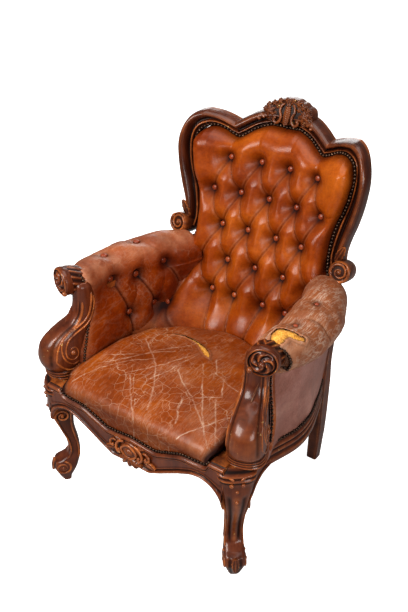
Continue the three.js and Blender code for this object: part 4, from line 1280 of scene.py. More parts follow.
# Side profiles of the post and the leg: front (forward, height), rear (forward, height), width.
POST_ROWS = [
    [55, 390.3, -34, 390.3, 96], [60, 408, -37, 408, 98], [70, 428, -38, 428, 100], [76, 458, -43, 458, 100],
    [70, 490, -53, 488, 94], [52, 514, -62, 512, 86], [20, 535, -74, 530, 76], [-18, 554, -84, 548, 68],
    [-36, 580, -96, 576, 63], [-41, 608, -100, 605, 62], [-42, 632, -97, 630, 60], [-42, 654, -92, 654, 54],
    [-46, 666, -84, 666, 40],
]
# Ridges on the faces of the post, as (forward, height) points.
POST_RIDGES = [
    (4.2, [
        (-45, 614), (-39, 593), (-26, 578), (-3, 556), (23, 546), (44, 537), (55, 517), (56, 487), (42, 450),
        (16, 423), (-6, 419), (-24, 430),
    ]),
    (3.7, [
        (-73, 640), (-72, 615), (-64, 581), (-51, 559), (-26, 544), (3, 531), (21, 518), (28, 493), (24, 467),
        (11, 446), (-5, 436), (-24, 440),
    ]),
    (3.4, [
        (-79, 628), (-80, 602), (-69, 563), (-51, 542), (-22, 529), (1, 517), (12, 501), (16, 480), (11, 461),
        (-4, 451), (-18, 457), (-22, 471), (-15, 486), (-3, 488), (3, 480),
    ]),
]
RIDGE_T = 46.0
# The carved knob that ends an arm: (forward, radius) from the leather to the middle of its face.
KNOB_PROFILE = [
    (-108, 30), (-100, 38), (-90, 41), (-74, 42), (-54, 42), (-36, 41.5), (-27, 42.5), (-20, 42), (-15, 39.5),
    (-14, 36.5), (-18, 34.5), (-18.5, 32.5), (-15, 30), (-12.5, 26), (-12.5, 21), (-12, 16), (-10, 11.5),
    (-11, 9.5), (-5, 7), (-1.5, 4), (-1, 0.4),
]
KNOB_T, KNOB_Z = 24.0, 668.0
LEG_ROWS = [
    [22, 0, -1, 0, 28], [31, 14, -4, 16, 36], [41, 36, -14, 36, 50], [50, 60, -25, 60, 62],
    [45, 80, -31, 78, 60], [22, 92, -34, 88, 56], [2, 106, -37, 104, 53], [-4, 128, -38, 124, 51],
    [-1, 155, -36, 152, 50], [9, 185, -31, 182, 51], [21, 215, -27, 215, 53], [34, 252, -28, 248, 63],
    [41, 286, -32, 286, 74], [43, 312, -36, 312, 83], [42, 338, -40, 338, 91], [44, 355, -44, 355, 97],
    [41, 372, -46, 372, 101], [34, 383, -46, 383, 96], [24, 391, -46, 391, 88],
]

# Volutes on the knee and the toe of a leg: (forward, across, up), radii, turns, start in degrees,
# thickness, flatness, wear and painted highlight, and the radius and height of the eye.
LEG_VOLUTES = [
    ((6.0, 34.0, 268.0), [[0, 23], [0.5, 15], [1, 4]], 1.6, -60, (3.8, 2.4), 0.9, 0.7, (5.5, 6.0)),
    ((20.0, 28.0, 62.0), [[0, 25], [0.5, 16], [1, 4]], 1.7, 100, (4.4, 2.8), 0.95, 0.8, (6.0, 6.5)),
]


class Upright:
    """A carved member whose side profile lies in a turned vertical plane."""

    def __init__(self, rows, centre, turn, n, corners=(0.62, 0.62)):
        self.corners = corners
        rows = np.asarray(rows, float)
        step = np.linspace(0, len(rows) - 1, n)
        keyed = np.concatenate([np.arange(len(rows))[:, None], rows], 1)
        self.rows = table(keyed, 0, step)[:, 1:]
        self.level = (self.rows[:, 1] + self.rows[:, 3]) / 2
        self.centre = np.asarray(centre, float)
        self.forward = np.array([math.sin(turn), -math.cos(turn), 0])
        self.across = np.array([math.cos(turn), math.sin(turn), 0])

    def place(self, s, t, z):
        s, t, z = np.broadcast_arrays(np.asarray(s, float), t, z)
        base = np.array([self.centre[0], self.centre[1], 0])
        return (
            base + s[..., None] * self.forward + t[..., None] * self.across
            + z[..., None] * np.array([0, 0, 1.0])
        )

    def skin(self, solid, sides, relief):
        front_s, front_z, rear_s, rear_z, width = self.rows.T
        a = np.linspace(0, 2 * np.pi, sides, endpoint=False)
        corner = np.where(np.cos(a) > 0, self.corners[0], self.corners[1])
        c = np.sign(np.cos(a)) * np.abs(np.cos(a)) ** corner
        d = np.sign(np.sin(a)) * np.abs(np.sin(a)) ** corner
        mid_s, mid_z = (front_s + rear_s) / 2, (front_z + rear_z) / 2
        half_s, half_z = (front_s - rear_s) / 2, (front_z - rear_z) / 2
        depth = np.hypot(half_s, half_z)
        lift, cav, wear = relief(self.level[:, None], width[:, None], c, d)
        s = mid_s[:, None] + half_s[:, None] * c * (1 + lift / depth[:, None])
        z = mid_z[:, None] + half_z[:, None] * c * (1 + lift / depth[:, None])
        t = width[:, None] / 2 * d * (1 + lift / (width[:, None] / 2))
        tube(solid, self.place(s, t, z), cav=np.clip(cav, 0, 1), wear=np.clip(wear, 0, 1))

    def at_level(self, z):
        """The front and rear of the profile and its width, at height z."""
        return (np.interp(z, self.level, self.rows[:, k]) for k in (0, 2, 4))

    def half_width(self, s, z):
        """How far the skin lies from the middle plane, s forward at height z."""
        front, rear, width = self.at_level(z)
        c = np.clip((s - (front + rear) / 2) / ((front - rear) / 2), -0.97, 0.97)
        corner = np.where(c > 0, self.corners[0], self.corners[1])
        cosine = np.abs(c) ** (1 / corner)
        return width / 2 * np.sqrt(1 - cosine**2) ** corner


def post_relief(z, width, c, d):
    """Collar, waist, club and neck of a post: how far they rise, how much painted shade they get, and how
    much wear and painted highlight.
    """
    across = d * width / 2
    front = smoothstep(c * np.ones_like(z), 0.1, 0.6)
    collar = sum(h * bell(z, at, w) for at, w, h in ((395, 4.0, 5.5), (404.5, 3.0, 3.6), (413, 3.0, 2.4)))
    grooves = bell(z, 400, 1.6) + bell(z, 409, 1.6) + bell(z, 418, 2.6)
    neck = smoothstep(z, 560, 590) * front
    spine = neck * (1.6 * bell(across, 0, 7.0) - 1.2 * bell(np.abs(across), 15, 5.0))
    club = (1 - smoothstep(z, 500, 560)) * smoothstep(z, 418, 436) * front
    waist = -3.0 * bell(z, 420, 7.0)
    edge_groove = bell(c, 0.74, 0.07) * smoothstep(z, 430, 450) * (1 - smoothstep(z, 600, 625))
    lift = collar + spine + club * 3.0 * np.cos(across / 50 * np.pi / 2) + waist - 2.2 * edge_groove
    # Painted shade in the collar grooves, beside the neck's spine and in the edge groove.
    cav = grooves * 0.8 + neck * 0.35 * bell(np.abs(across), 15, 4.0) + 0.7 * edge_groove
    return lift, cav, (club * 0.55 + collar * 0.06) * np.ones_like(c)


def side_scroll(post, solid, side):
    """The ridges that run down one face of the post and wind into a volute."""
    for radius, points in POST_RIDGES:
        line = curve(points, 110)
        z = line[:, 1]
        front, rear, width = post.at_level(z)
        s = line[:, 0] + 0.66 * (width / 2 - 1 - RIDGE_T)
        s = np.minimum(s, (front + rear) / 2 + 0.50 * (front - rear) / 2)
        path = post.place(s, side * (post.half_width(s, z) - 0.3 * radius), z)
        bead(solid, path, np.linspace(radius, radius * 0.72, 110), 1.0, side * post.across, 9, wear=0.8)
    dome(solid, post.place(-5.0, side * 48.0, 473.0), side * post.across, 8.0, 7.5, wear=1.0)


def build_knob(post, solid):
    """The end of an arm: locks swept forward round it, a smooth rim and a curled rosette."""
    profile = resample(np.array(KNOB_PROFILE, float), 104)
    s, radius = profile[:, :1], profile[:, 1:]
    back = np.clip((-22 - s) / 76, 0, 1)
    phi = np.linspace(-np.pi, np.pi, 132, endpoint=False)[None, :]
    face = np.arange(104)[:, None] > 50
    swept = np.abs(phi) * (1 - 0.30 * (1 - back)) * 8.5 + 5.0 * (1 - back) ** 1.3
    lock = 1 - 2 * np.abs(np.sin(swept))
    locks = lock * smoothstep(s, -94, -62) * (1 - 0.8 * smoothstep(s, -30, -20)) * ~face
    petal = np.cos(5 * phi - radius / 4.2)
    petals = petal * smoothstep(radius, 8, 13) * (1 - smoothstep(radius, 26, 31)) * face
    radial = radius + 2.0 * locks
    forward = s + 3.4 * petals
    rise = KNOB_Z - 19.0 * back**1.3
    points = post.place(forward, KNOB_T + radial * np.sin(phi) + 4.0 * back, rise + radial * np.cos(phi))
    rim_groove = bell(radius, 33.5, 2.2) * face
    # Painted shade between the locks and petals and in the rim groove; wear and painted highlight on their
    # crests.
    cav = 0.75 * smoothstep(-locks, 0.1, 0.9) + 0.8 * smoothstep(-petals, 0.1, 0.8) + rim_groove
    wear = (
        0.9 * smoothstep(locks, 0.1, 0.9) + 0.8 * smoothstep(petals, 0.2, 0.9)
        + 0.4 * bell(s, -24, 5.0) * ~face
    )
    tube(solid, points, np.clip(cav, 0, 1), np.clip(wear, 0, 1))
    ball = post.place(-15.0, KNOB_T - 29.0, KNOB_Z - 25.0)
    dome(solid, ball, post.forward, 8.0, 8.0, wear=0.9)


def build_post(sign):
    """The carved post at the front of an arm."""
    solid = Solid()
    post = Upright(POST_ROWS, POST_CENTRE, POST_TURN, 190, (0.85, 0.5))
    post.skin(solid, 84, post_relief)
    for side in (1, -1):
        side_scroll(post, solid, side)
    build_knob(post, solid)
    side_piece(sign, "carved_arm_post_", solid, LEG_WOOD, "arm_post_", 60)


def leg_relief(z, width, c, d):
    """Flutes, spine, toe and collar of a leg, as post_relief gives them."""
    across = d * width / 2
    ones = np.ones_like(z)
    front = smoothstep(c * ones, 0.35, 0.8)
    flank = smoothstep(np.abs(d) * ones, 0.75, 0.97) * (1 - smoothstep(np.abs(c) * ones, 0.55, 0.8))
    shank = smoothstep(z, 96, 120) * (1 - smoothstep(z, 296, 318))
    flute = bell(np.abs(across) / width, 0.26, 0.085)
    spine = bell(across / width, 0, 0.09)
    lift = front * shank * (2.6 * spine - 3.4 * flute) - flank * shank * 3.2
    collar = 4.0 * bell(z, 376, 4.5) + 3.0 * bell(z, 362, 3.5)
    toe = (1 - smoothstep(z, 70, 96)) * front * smoothstep(z, 8, 24)
    lift = lift + collar + toe * (3.0 * spine - 2.6 * flute)
    # Painted shade in the flutes, on the flanks, in the collar grooves and over the leg's top below the post.
    cav = shank * (front * flute * 0.75 + flank * 0.35) + toe * flute * 0.7
    for at, deep in ((369, 2.4), (384, 3.4), (355, 2.4)):
        cav = cav + 0.9 * bell(z, at, deep)
    cav = cav + 0.25 * smoothstep(z, 300, 340) * (1 - smoothstep(z, 360, 380))
    cav = cav + 0.35 * smoothstep(z, 379, 386)
    wear = front * shank * spine * 0.6 + toe * spine + 0.8 * (1 - smoothstep(z, 0, 16)) + collar * 0.08
    return lift, cav, wear * np.ones_like(c)


def build_leg(sign):
    """A carved front leg with volutes on knee and toe."""
    solid = Solid()
    leg = Upright(LEG_ROWS, LEG_CENTRE, LEG_TURN, 200)
    leg.skin(solid, 76, leg_relief)
    front_s, front_z, rear_s, rear_z, width = leg.rows.T
    for side in (1, -1):
        face = side * leg.across
        pick = (front_z > 96) & (front_z < 308)
        for share in (0.16, 0.84):
            s = (front_s + (rear_s - front_s) * share)[pick]
            z = (front_z + (rear_z - front_z) * share)[pick]
            w = (width / 2 - 2.0)[pick]
            bead(solid, resample(leg.place(s, side * w, z), 90), 2.7, 0.9, face, wear=0.55)
        for place, radii, turns, start, thick, squash, wear, eye in LEG_VOLUTES:
            middle = leg.place(place[0], side * place[1], place[2])
            line = spiral(middle, leg.forward, [0, 0, 1], radii, turns, 80, math.radians(start))
            bead(solid, line, np.linspace(*thick, 80), squash, face, wear=wear)
            dome(solid, middle, face, *eye, wear=0.9)
    out = leg.forward
    for side in (1, -1):
        curl = [(8, 366), (22, 374), (38, 371), (45, 361), (38, 352), (29, 356), (32, 363)]
        path = leg.place(
            [45.0 - 0.012 * t * t for t, _ in curl], [side * t for t, _ in curl], [z for _, z in curl]
        )
        bead(solid, curve(path, 60), np.linspace(3.6, 2.6, 60), 0.9, out, wear=0.8)
        dome(solid, leg.place(43.5, side * 15.0, 350.0), out, 6.0, 6.5, wear=1.0)
    dome(solid, leg.place(41.5, 0.0, 326.0), out, 5.0, 5.5, wear=1.0)
    dome(solid, leg.place(42.5, 0.0, 292.0), out, 5.5, 6.5, wear=1.0)
    leaf(solid, leg.place(46.0, 0.0, 86.0), leg.place(50.0, 0.0, 40.0), 10, out, 5, 3, 2)
    side_piece(sign, "carved_front_leg_", solid, LEG_WOOD, "front_leg_", 60)


for sign in (1, -1):
    build_post(sign)
    build_leg(sign)

# ---------------------------------------------------------------- rails, rear legs and panels

# The side rail's line in plan, its section as (outward, height), and the rear leg as
# (x, y, height, half width, half depth).
SIDE_RAIL = [[300, -262], [326, -150], [353, -50], [350, 30], [325, 118], [292, 212]]
RAIL_SECTION = [
    (-34, 284), (0, 284), (2.6, 287), (3.2, 295), (2.6, 301), (-2.0, 305), (-3.5, 309), (-2.5, 313),
    (1.0, 316), (2.2, 320), (1.0, 324), (-2.6, 327), (-2.8, 331), (0.8, 334), (1.2, 338), (-0.5, 342),
    (-4.0, 345), (-4.5, 348), (-9, 349), (-9, 384), (-34, 384),
]
REAR_ROWS = [
    [264, 244, 0, 17, 17], [274, 228, 80, 18, 19], [283, 214, 160, 19, 21], [287, 205, 250, 20, 23],
    [286, 208, 330, 20, 23], [282, 220, 400, 18, 18], [274, 252, 490, 17, 16], [262, 288, 590, 15, 14],
]


def build_apron():
    """The moulded front rail with its shell, oval boss and scrolls."""
    solid = Solid()
    n, m = 250, 52
    xs = np.sign(np.linspace(-1, 1, n)) * 305 * np.abs(np.linspace(-1, 1, n)) ** 0.85
    low = table(APRON_LOWER, 0, np.abs(xs))[:, 1]
    high = table(APRON_UPPER, 0, np.abs(xs))[:, 1]
    v = np.linspace(0, 1, m)
    rings = np.zeros((n, m + 6, 3))
    cav = np.zeros((n, m + 6))
    wear = np.zeros((n, m + 6))
    for i, x in enumerate(xs):
        z = low[i] + (high[i] - low[i]) * v
        from_low, from_high = z - low[i], high[i] - z
        left, right = max(i - 1, 0), min(i + 1, n - 1)
        slope = min(3.0, math.hypot(1, (low[right] - low[left]) / (xs[right] - xs[left])))
        from_low = from_low / slope
        lift = 6.5 * bell(from_low, 6.5, 4.2, 4) + 3.4 * bell(from_high, 5.5, 4.0, 4)
        lift = lift + 2.2 * bell(from_high, 13.5, 2.2) + 1.6 * bell(from_low, 16.5, 2.2)
        rings[i, :m] = np.stack([np.full(m, x), APRON_FACE - lift, z], -1)
        shelf = max(APRON_SHELF, high[i] + 3)
        rings[i, m:] = [
            [x, -332, high[i] + 0.5], [x, -331, high[i] + 2], [x, -331, shelf],
            [x, FRONT_RAIL_REAR, shelf], [x, FRONT_RAIL_REAR, high[i]], [x, FRONT_RAIL_REAR, low[i] + 1],
        ]
        # Painted shade in the coves, and on the shelf and rear faces under the seat's lip.
        cav[i, :m] = 0.85 * bell(from_low, 12.6, 1.8) + 0.85 * bell(from_high, 10.4, 1.6)
        cav[i, :m] += 0.4 * bell(from_low, 20, 2.0)
        cav[i, m:] = 0.6
        wear[i, :m] = 0.7 * bell(from_low, 6.5, 3.0) + 0.35 * bell(from_high, 5.5, 3.0)
    tube(solid, rings, cav=cav.clip(0, 1), wear=wear.clip(0, 1))
    face = np.array([0, -1.0, 0])
    at = lambda x, z, out: np.array([x, -341.0 - out, z])
    a = np.linspace(0, 2 * np.pi, 73)
    lobe = lambda t: 1 + 0.05 * math.cos(4 * t)
    oval = np.array([at(25 * math.cos(t) * lobe(t), 303 + 21 * math.sin(t) * lobe(t), 9) for t in a])
    dome(solid, at(0, 303, 1), face, 33, 10, (1.0, 0.84), 8, 48, 0.2, 0.2)
    bead(solid, oval, 4.0, 0.9, face, wear=0.8, taper=False)
    dome(solid, at(0, 303, 8), face, 15, 8.5, (1.0, 0.82), 8, 32, 0.1, 0.8)
    scroll = [
        (18, 331, 6), (34, 326, 8), (44, 312, 8), (45, 296, 8), (36, 286, 8), (33, 294, 9), (39, 300, 9)
    ]
    wing = [(46, 318, 4), (58, 320, 5), (68, 311, 5), (66, 300, 6), (57, 300, 7), (59, 308, 7)]
    for s in (1, -1):
        for points, n, thin, thick, wear in ((scroll, 70, 3.6, 4.8, 0.8), (wing, 60, 3.2, 4.2, 0.7)):
            line = curve([at(s * x, z, out) for x, z, out in points], n)
            bead(solid, line, np.linspace(thin, thick, n), 0.95, face, wear=wear)
        leaf(solid, at(s * 50, 292, 3), at(s * 88, 282, 3), 8, face, 5, 2, 2)
        leaf(solid, at(s * 22, 322, 3), at(s * 52, 334, 3), 6, face, 4, 2, 1)
    for turn in (-62, -32, 0, 32, 62):
        t = math.radians(turn)
        root, tip = at(9 * math.sin(t), 284 - 3 * math.cos(t), 6), at(
            47 * math.sin(t), 282 - 32 * math.cos(t), 3
        )
        leaf(solid, root, tip, 9.5, face, 8.0, 2.5, 1, 0.9)
    dome(solid, at(0, 281, 6), face, 7, 7, wear=0.8)
    piece("carved_front_rail", solid, LEG_WOOD, ("front_rail",), 60)


def outward_of(path):
    """Level directions square to a path in plan, to its outer side."""
    tangent = unit(np.gradient(path, axis=0))
    return np.stack([tangent[:, 1], -tangent[:, 0]], 1)


def build_side_rail(sign):
    """A curved side rail, with the bracket that joins it to the front leg."""
    solid = Solid()
    path = curve(SIDE_RAIL, 120)
    outward = outward_of(path)
    section = resample(np.array(RAIL_SECTION, float), 64)
    out, z = section[:, 0], section[:, 1]
    rings = np.zeros((len(path), len(out), 3))
    rings[..., :2] = path[:, None] + outward[:, None] * out[None, :, None]
    rings[..., 2] = z
    # Painted shade in the hollows of the moulding; wear and painted highlight on its ridges.
    hollow = sum(bell(z, at, wide) for at, wide in ((309, 2.2), (329, 2.0), (347, 2.0)))
    ridge = bell(z, 295, 5.0) + bell(z, 320, 3.0)
    along = (len(path), 1)
    tube(solid, rings, np.tile(hollow * 0.8 * (out > -8), along), np.tile(ridge * 0.5 * (out > 0), along))
    plan = curve([(331, -118), (327, -150), (325, -185), (329, -222), (336, -256), (338, -289)], 70)
    low = interp(
        [[0, 291], [0.2, 285], [0.42, 277], [0.62, 267], [0.8, 254], [0.92, 247], [1, 246]],
        np.linspace(0, 1, 70)
    )
    high = interp([[0, 296], [0.2, 306], [0.6, 330], [1, 350]], np.linspace(0, 1, 70))
    normal = outward_of(plan)
    normal = normal * np.sign((normal * [1, 0.2]).sum(1))[:, None]
    v = np.linspace(0, 1, 40)
    z = low[:, None] + (high - low)[:, None] * v
    lift = 4.5 * bell(z - low[:, None], 7.0, 5.0, 4) - 6.0 * v**3
    shape = np.zeros((70, 42, 3))
    shape[:, :40, :2] = plan[:, None] + normal[:, None] * lift[..., None]
    shape[:, :40, 2] = z
    for k, end in ((40, high), (41, low)):
        shape[:, k, :2], shape[:, k, 2] = plan - normal * 22.0, end + (1.0 if k == 41 else 0.0)
    flat_back = np.zeros((70, 2))
    # Painted shade in the bracket's cove; wear and painted highlight on its edge bead.
    rise = z - low[:, None]
    hollow = np.concatenate([0.8 * bell(rise, 14.0, 2.0), flat_back], 1)
    tube(solid, shape, hollow, np.concatenate([0.6 * bell(rise, 7.0, 4.0), flat_back], 1))
    side_piece(sign, "moulded_side_rail_", solid, LEG_WOOD, "side_rail_", 60)


def build_rear_leg(sign):
    """A raked rear leg with chamfered corners."""
    solid = Solid()
    rows = table(
        [[i, *r] for i, r in enumerate(REAR_ROWS)], 0, np.linspace(0, len(REAR_ROWS) - 1, 110)
    )[:, 1:]
    corner = 0.24
    shape = []
    for cx, cy in ((1, 1), (-1, 1), (-1, -1), (1, -1)):
        first, second = (
            ((1, 1 - corner), (1 - corner, 1)) if cx * cy > 0 else ((1 - corner, 1), (1, 1 - corner))
        )
        for fx, fy in (first, second):
            shape.append((cx * fx, cy * fy))
    shape = np.array(shape)
    dense = []
    for p, q in zip(shape, np.roll(shape, -1, 0)):
        dense += [p + (q - p) * t for t in (0.0, 0.2, 0.5, 0.8)]
    dense = np.array(dense)
    rings = np.zeros((len(rows), len(dense), 3))
    rings[..., 0] = rows[:, 0, None] + rows[:, 3, None] * dense[None, :, 0]
    rings[..., 1] = rows[:, 1, None] + rows[:, 4, None] * dense[None, :, 1]
    rings[..., 2] = rows[:, 2, None]
    tube(solid, rings, wear=0.25 + 0.6 * (1 - smoothstep(rows[:, 2], 0, 30)))
    side_piece(sign, "rear_leg_chamfered_", solid, LEG_WOOD, "rear_leg_", 40)


def thin_sheet(name, grid, thick, away, material, node):
    """A sheet of leather or cloth with a real thickness, away from the side it is seen from."""
    solid = Solid()
    nu, nv, _ = grid.shape
    rim = grid_rim(nu, nv)
    base = nu * nv
    faces = quads(nu, nv)
    edge = np.stack([rim, np.roll(rim, -1), base + np.roll(rim, -1), base + rim], 1)
    front = grid.reshape(-1, 3)
    rear = front + np.asarray(away, float) * thick
    u, v = np.meshgrid(np.linspace(0, 1, nu), np.linspace(0, 1, nv), indexing="ij")
    near_edge = np.minimum(np.minimum(u, 1 - u) * 2, np.minimum(v, 1 - v))
    # Painted shade along the sheet's edges, where it meets the frame.
    cav = 0.5 * (1 - smoothstep(near_edge, 0, 0.05)).ravel()
    wear = 0.3 * smoothstep(noise(u * 100, v * 100, 22, 71), 0.2, 0.7).ravel()
    skin = [faces, faces[:, ::-1] + base, edge[:, ::-1]]
    solid.add(np.concatenate([front, rear]), skin, np.tile(cav, 2), np.tile(wear, 2))
    made = piece(name, solid, material, (node,))


PANEL_THICK, CLOTH_THICK = 2.0, 0.9
PANEL_LOW = 348
# The rear edge of the outside arm as (height, y).
OUTSIDE_REAR = [[348, 202], [400, 210], [490, 240], [560, 262], [610, 276]]
OUTSIDE_FOOT = SIDE_RAIL + [[270, 278]]


def outside_arm_grid(nu, nv):
    """The right panel, from the rear edge of the post to the rear leg, rail to arm roll."""
    v = np.linspace(0, 1, nv)
    post = Upright(POST_ROWS, POST_CENTRE, POST_TURN, 120, (0.85, 0.5))
    rear_s, rear_z, width = post.rows.T[2:]
    corner = post.place(rear_s - 1.0, width / 2 - 3.0, rear_z)
    grid = np.zeros((nu, nv, 3))
    for i, u in enumerate(np.linspace(0, 1, nu)):
        z = PANEL_LOW + 240 * v
        for _ in range(4):
            y = np.interp(z, rear_z, corner[:, 1]) * (1 - u) + interp(OUTSIDE_REAR, z) * u
            cx, cz, r = table(ARM_ROLL, 0, y)[:, 1:].T
            z = PANEL_LOW + (cz - r * 0.62 - PANEL_LOW) * v
        foot = interp([[b, a] for a, b in OUTSIDE_FOOT], y) - 3.8
        head = cx + 27.0
        swell = np.sin(v * math.pi) * (3.0 - 5.0 * (1 - smoothstep(y, 60, 160)))
        fold = (
            noise(y, z, 70, 81, 2) * 2.2 * np.sin(v * math.pi)
            + 1.2 * np.sin(y / 13.0 + z / 30.0) * v**3 * (1 - u)
        )
        x = foot + (head - foot) * v**1.15 + swell + fold
        near_post = smoothstep(u, 0.0, 0.26)
        grid[i] = np.stack([np.interp(z, rear_z, corner[:, 0]) * (1 - near_post) + x * near_post, y, z], -1)
    return grid


def build_outside_arm(sign):
    """The flat leather outside an arm, and the welt along the post."""
    grid = outside_arm_grid(100, 44)
    welt = Solid()
    edge = grid[2, 4:-1]
    bead(welt, edge + [1.5, 5.0, 0], 7.0, 0.55, [0.9, -0.4, 0], 12, wear=0.1)
    if sign < 0:
        grid = grid * [-1, 1, 1]
        welt = welt.mirrored()
    side = SIDES[sign]
    name, node = "outside_arm_leather_" + side, "outside_arm_panel_" + side
    thin_sheet(name, grid, PANEL_THICK, [-sign, 0, 0], OUTSIDE_LEATHER, node)
    piece("outside_arm_welt_" + side, welt, SEAT_LEATHER)


# The outside back as (height, half width), and its foot as (height, y).
REAR_PANEL = [
    [352, 262], [430, 262], [520, 252], [620, 240], [700, 236], [780, 248], [860, 262], [940, 268],
    [985, 240],
]
REAR_FOOT = [[352, 246], [400, 250], [490, 279], [560, 305], [640, 340]]
REAR_LOW, REAR_HIGH, REAR_DEPTH = 352, 985, 42


def rear_y(x, z):
    """The Y of the outside back: behind the frame above, drawn in to the rear rail below."""
    y = back_y(x, z) + REAR_DEPTH
    foot = interp(REAR_FOOT, z)
    return np.where(z < 640, np.maximum(foot, np.minimum(y, foot + 14)), y)


def build_outside_back():
    """The leather over the rear of the back."""
    nu, nv = 64, 88
    v = np.linspace(0, 1, nv)
    z = REAR_LOW + (REAR_HIGH - REAR_LOW) * v[None, :] * np.ones((nu, 1))
    half = table(REAR_PANEL, 0, z.ravel())[:, 1].reshape(z.shape)
    share = np.linspace(-1, 1, nu)[:, None]
    x = share * half
    belly = (1 - share**2) * np.sin(np.pi * v)[None, :]
    y = rear_y(x, z) + belly * 3.0 + noise(x, z, 120, 91, 2) * 2.6 * belly**0.5
    y = y + 0.9 * np.sin((x + z) / 24.0) * np.exp(-(1 - np.abs(share)) * 7)
    grid = np.stack([x, y, z], -1)
    name, node = "outside_back_leather", "outside_back_panel"
    thin_sheet(name, grid, PANEL_THICK, [0, -1, 0], OUTSIDE_LEATHER, node)


CLOTH_FRONT, CLOTH_REAR, CLOTH_Z = -298, 222, 282.6


def build_dust_cloth():
    """The black cloth tacked under the seat, sagging a little."""
    nu, nv = 44, 44
    y = np.linspace(CLOTH_FRONT, CLOTH_REAR, nv)[None, :] * np.ones((nu, 1))
    half = interp([[-300, 258], [-270, 262], [-150, 286], [-50, 309], [30, 305], [118, 284], [222, 252]], y)
    x = np.linspace(-1, 1, nu)[:, None] * half
    inset = np.minimum(half - np.abs(x), np.minimum(y - CLOTH_FRONT, CLOTH_REAR - y))
    z = (
        CLOTH_Z - 2.0 * smoothstep(inset, 0, 160)
        + 0.8 * np.sin(x / 17.0) * np.exp(-inset / 40.0) * smoothstep(inset, 0, 6)
    )
    grid = np.stack([x, y, z], -1)
    thin_sheet(
        "dust_cloth_tacked", grid, CLOTH_THICK, [0, 0, 1], DUST_CLOTH, "dust_cover",
    )


build_apron()
for sign in (1, -1):
    build_side_rail(sign)
    build_rear_leg(sign)
    build_outside_arm(sign)
build_outside_back()
build_dust_cloth()

# ---------------------------------------------------------------- close-nailed rows


NAIL_RADIUS, NAIL_PITCH = 4.6, 9.4


def nail(solid, centre, normal, radius, tilt):
    """A domed nail head."""
    normal, side, up = basis(normal, [0.13, 0.21, 1.0])
    profile = ((0.9, -1.8), (1.0, 0.2), (0.80, 2.1), (0.44, 3.2), (0.08, 3.5))
    # Painted shade round the foot of the head.
    tube(
        solid, turned(centre, normal, side, up, profile, radius, 9, tilt), cav=np.array([1, 0.6, 0.05, 0, 0])
    )


def nail_row(name, path, normals, node, pitch=NAIL_PITCH, radius=NAIL_RADIUS):
    """Nail heads close together along a path, each a little out of line."""
    solid = Solid()
    length = np.linalg.norm(np.diff(path, axis=0), axis=1).sum()
    n = max(4, int(round(length / pitch)))
    line = resample(np.concatenate([path, np.broadcast_to(normals, path.shape)], 1), n)
    jitter = np.random.RandomState(len(name) * 7 + n)
    for p in line:
        shift = jitter.normal(0, 0.35, 3)
        lean = jitter.normal(0, 0.05, 3)
        nail(
            solid, p[:3] + shift * 0.7, unit(p[3:]) + lean, radius * jitter.uniform(0.94, 1.04),
            jitter.uniform(0, 1)
        )
    piece(name, solid, NAIL_BRASS, (node,), 60)


